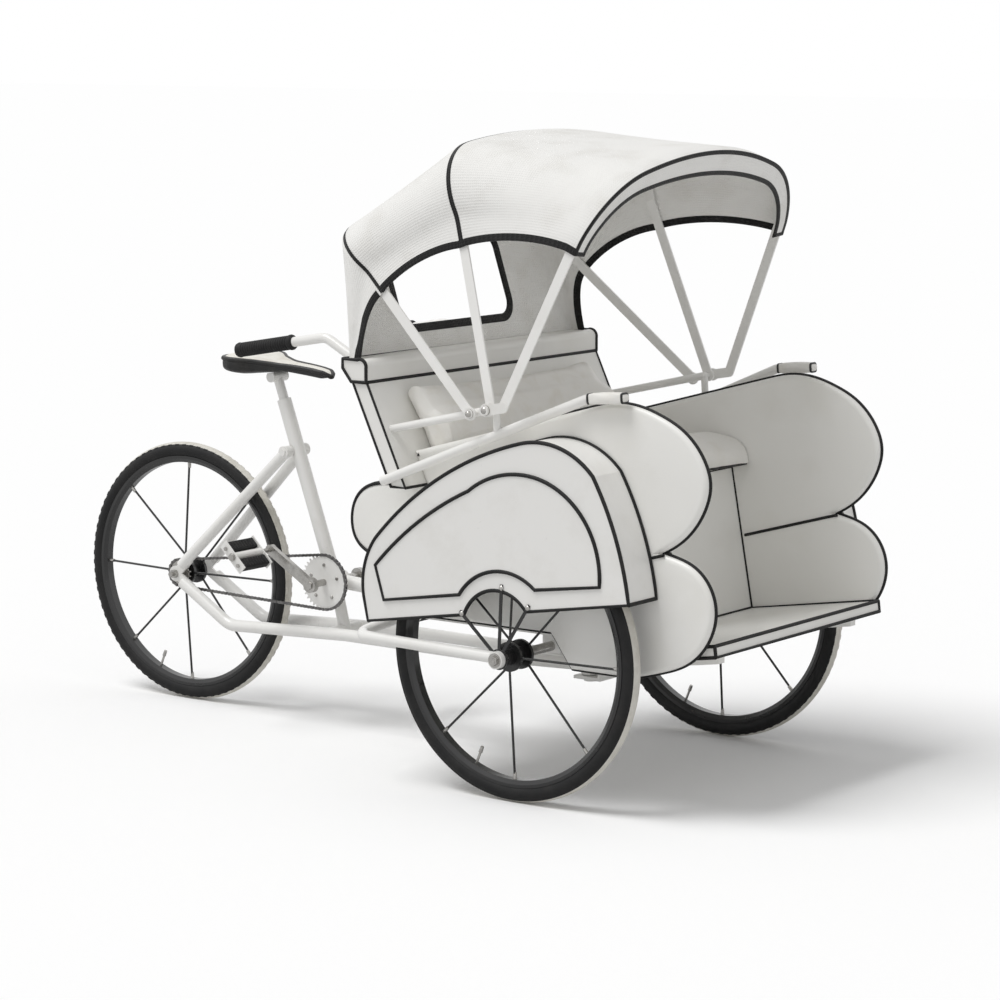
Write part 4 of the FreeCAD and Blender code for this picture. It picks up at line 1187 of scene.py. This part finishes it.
def without_chosen(piece, first=None):
    """Delete a piece's selected edges, after first is done to the selection, and all its faces:
    what is left is lines."""
    with editing(piece, None, first):
        bpy.ops.mesh.delete(type="EDGE")
        bpy.ops.mesh.select_all(action="SELECT")
        bpy.ops.mesh.delete(type="ONLY_FACE")


bpy.ops.object.select_all(action="DESELECT")
bpy.ops.mesh.primitive_uv_sphere_add(segments=56, ring_count=64, radius=1.0,
                                     rotation=(0, math.pi / 2, 0), location=(0, 0, 0))
saddle = bpy.context.object
saddle.name = "saddle_leather_top"
place_mesh(saddle)
is_top = [face.center.z / max(1e-6, math.hypot(face.center.y, face.center.z)) > TOP_FROM
          for face in saddle.data.polygons]
for vertex in saddle.data.vertices:
    x = (vertex.co.x + 1) / 2 * SADDLE_PLAN[-1][0]
    ring = math.hypot(vertex.co.y, vertex.co.z)
    c, s = (vertex.co.y / ring, vertex.co.z / ring) if ring > 1e-5 else (0.0, 0.0)
    half = table(SADDLE_PLAN, x)
    top, foot = table(SADDLE_TOP, x), table(SADDLE_FOOT, x)
    middle = foot + (top - foot) * WAIST_UP
    full = min(1.0, half / NOSE_HALF) ** 0.5
    y = half * math.copysign(abs(c) ** BOXY_ACROSS, c)
    dish = DISH * math.exp(-(y / DISH_HALF) ** 2) if s > 0 else 0.0
    reach = (top - middle if s > 0 else foot - middle) * full
    vertex.co = (SADDLE_BACK + x, y, middle + reach * abs(s) ** BOXY_UP - dish)
saddle.data.update()
pale_leather = vinyl("pale saddle leather", "#efece4", "#d9d3c6", 1.8)
black_leather = vinyl("black saddle leather", "#131212", "#2a2724", 1.8)
saddle.data.materials.append(pale_leather)
saddle.data.materials.append(black_leather)
for face, on_top in zip(saddle.data.polygons, is_top):
    face.material_index = 0 if on_top else 1
modified(saddle, "SMOOTH", iterations=3)
with editing(saddle):
    face_outwards()
bpy.ops.object.shade_smooth()
sewn = {}
for face in saddle.data.polygons:
    for key in face.edge_keys:
        sewn.setdefault(key, set()).add(face.material_index)
saddle_cord = placed("saddle_piping", saddle.data.copy())
with editing(saddle_cord, "EDGE", "DESELECT"):
    pass
for edge in saddle_cord.data.edges:
    edge.select = len(sewn[tuple(edge.key)]) == 1
without_chosen(saddle_cord)
fit_out(saddle, None, "saddle_leather", "rear_frame", "saddle")
fit_out(corded(saddle_cord, SADDLE_CORD_R), black_leather, "saddle_leather", "rear_frame")

# ---- Handlebar grips --------------------------------------------------------------------------
# Moulded black rubber sleeves pushed over the bar ends: ribbed all round, with a flange at the
# hand's inner end and a domed cap at the outer one.
GRIP_BACK = (-0.4065, 1.00414)
GRIP_FRONT = (-0.2165, 1.0369)
GRIP_Y = 0.25
GRIP_R = 0.0170
GRIP_RIBS = 20
RIB_RISE = 0.0017


def turned(start, end, steps, name, sides=40):
    """Turned piece along a line: steps give how far along it and its radius there, in metres."""
    start, end = Vector(start), Vector(end)
    way = (end - start).normalized()
    bpy.ops.object.select_all(action="DESELECT")
    bpy.ops.mesh.primitive_circle_add(vertices=sides, radius=steps[0][1], fill_type="NGON",
                                      location=start + way * steps[0][0],
                                      rotation=way.to_track_quat("Z", "Y").to_euler())
    made = bpy.context.object
    made.name = name
    place_mesh(made)
    with editing(made, "FACE"):
        for (d0, r0), (d1, r1) in zip(steps, steps[1:]):
            bpy.ops.mesh.extrude_region_move(TRANSFORM_OT_translate={"value": way * (d1 - d0)})
            bpy.ops.transform.resize(value=[r1 / r0] * 3, center_override=start + way * d1)
        face_outwards()
    smooth_below(38)
    return made


grip_length = math.dist(GRIP_BACK, GRIP_FRONT)
grip_steps = [(0.0, 0.006), (0.0008, 0.012), (0.004, 0.0180), (0.010, 0.0198), (0.015, 0.0185)]
step = (grip_length - 0.034) / GRIP_RIBS
for i in range(GRIP_RIBS):
    d = 0.018 + (grip_length - 0.034) * i / GRIP_RIBS
    grip_steps += [(d + step * share, GRIP_R + rise)
                   for share, rise in ((0, 0), (0.22, RIB_RISE), (0.66, RIB_RISE), (0.88, 0))]
grip_steps += [(grip_length - back, r) for back, r in ((0.014, 0.0185), (0.011, 0.0200),
                                                       (0.006, 0.0200), (0.003, 0.0185), (0, 0.0150))]
for side, way in (("right", -1), ("left", 1)):
    back, front = ((x, way * GRIP_Y, z) for x, z in (GRIP_BACK, GRIP_FRONT))
    grip = turned(back, front, grip_steps, "grip_ribbed_" + side)
    fit_out(grip, black_rubber, "black_rubber", "cabin", "grip_" + side)

# ---- Trim on the seat, floor and tail ---------------------------------------------------------
# Black rubber edging is tacked along the edges of the seat back, its top rail, the seat box, the
# floor and the tail locker, where people climb in and lean.
TRIM_R = 0.0036
WIDE_TRIM_R = 0.0044


def bead_on_edges(node, name, radius, chosen):
    """Cord along the sharp edges of a construction piece for which chosen says yes."""
    made = copy_of(node, name)
    with editing(made, "EDGE", "DESELECT"):
        bpy.ops.mesh.edges_select_sharp(sharpness=math.radians(35))
    points = made.data.vertices
    for edge in made.data.edges:
        a, b = (points[index].co for index in edge.vertices)
        edge.select = edge.select and chosen(a, b)
    without_chosen(made, "INVERT")
    return corded(made, radius)


def straight_edge(a, b):
    return (b - a).length > 0.010


for name, radius, chosen in (
        ("back_top_rail", WIDE_TRIM_R, straight_edge),
        ("seat_back", TRIM_R, straight_edge),
        ("floor_board", WIDE_TRIM_R, straight_edge),
        ("seat_box", TRIM_R, lambda a, b: straight_edge(a, b) and max(a.x, b.x) > 0.70),
        ("tail_panel", TRIM_R, lambda a, b: abs(a.y - b.y) > 0.05)):
    fit_out(bead_on_edges(name, name + "_trim", radius, chosen), black_rubber, "black_rubber", "cabin")

# ---- Hood and mudguard fastenings -------------------------------------------------------------
# Each hood bow turns on a plated bolt with a washer and a domed nut; the mudguards' stays are
# bolted through; domed studs hold the foot of the curtain to the top rail.
NUT = ((0.0, 1.45), (0.0016, 1.45), (0.0017, 1.0), (0.0060, 1.0), (0.0085, 0.86), (0.0105, 0.55),
       (0.0113, 0.12))
STUD = ((0.0, 1.0), (0.0008, 1.0), (0.0022, 0.8), (0.0030, 0.45), (0.0033, 0.1))
HOOD_PINS = (("front", 0.5725, 0.940, 0.0090), ("rear", 0.5175, 0.927, 0.0080))
STAY_ENDS = ((0.5244, 0.4536), (0.6411, 0.527), (0.7172, 0.4872))
STAY_Y = 0.5258
STUD_Z = 1.047
STUD_HALF = 0.445


def fastener(at, way, radius, profile, sides):
    """Plated nut or stud on a surface at a place, facing way: profile gives shares of the radius."""
    at = Vector(at)
    return turned(at, at + Vector(way), [(d, radius * share) for d, share in profile], "fastener", sides)


for side, way in (("right", -1), ("left", 1)):
    pins = [fastener((x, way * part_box("hood_bow_" + bow)[1][1], z), (0, way, 0), radius, NUT, 24)
            for bow, x, z, radius in HOOD_PINS]
    pins += [fastener((x, way * STAY_Y, z), (0, way, 0), 0.0062, STUD, 14) for x, z in STAY_ENDS]
    fit_out(join(pins, "hood_pins_and_stay_bolts_" + side), nickel, "bright_steel", "cabin")
studs = []
for i in range(21):
    hit, place = from_behind((i / 10 - 1) * STUD_HALF, STUD_Z)
    if hit:
        studs.append(fastener(place, (-1, 0, 0), 0.0058, STUD, 14))
fit_out(join(studs, "curtain_studs"), nickel, "bright_steel", "cabin")
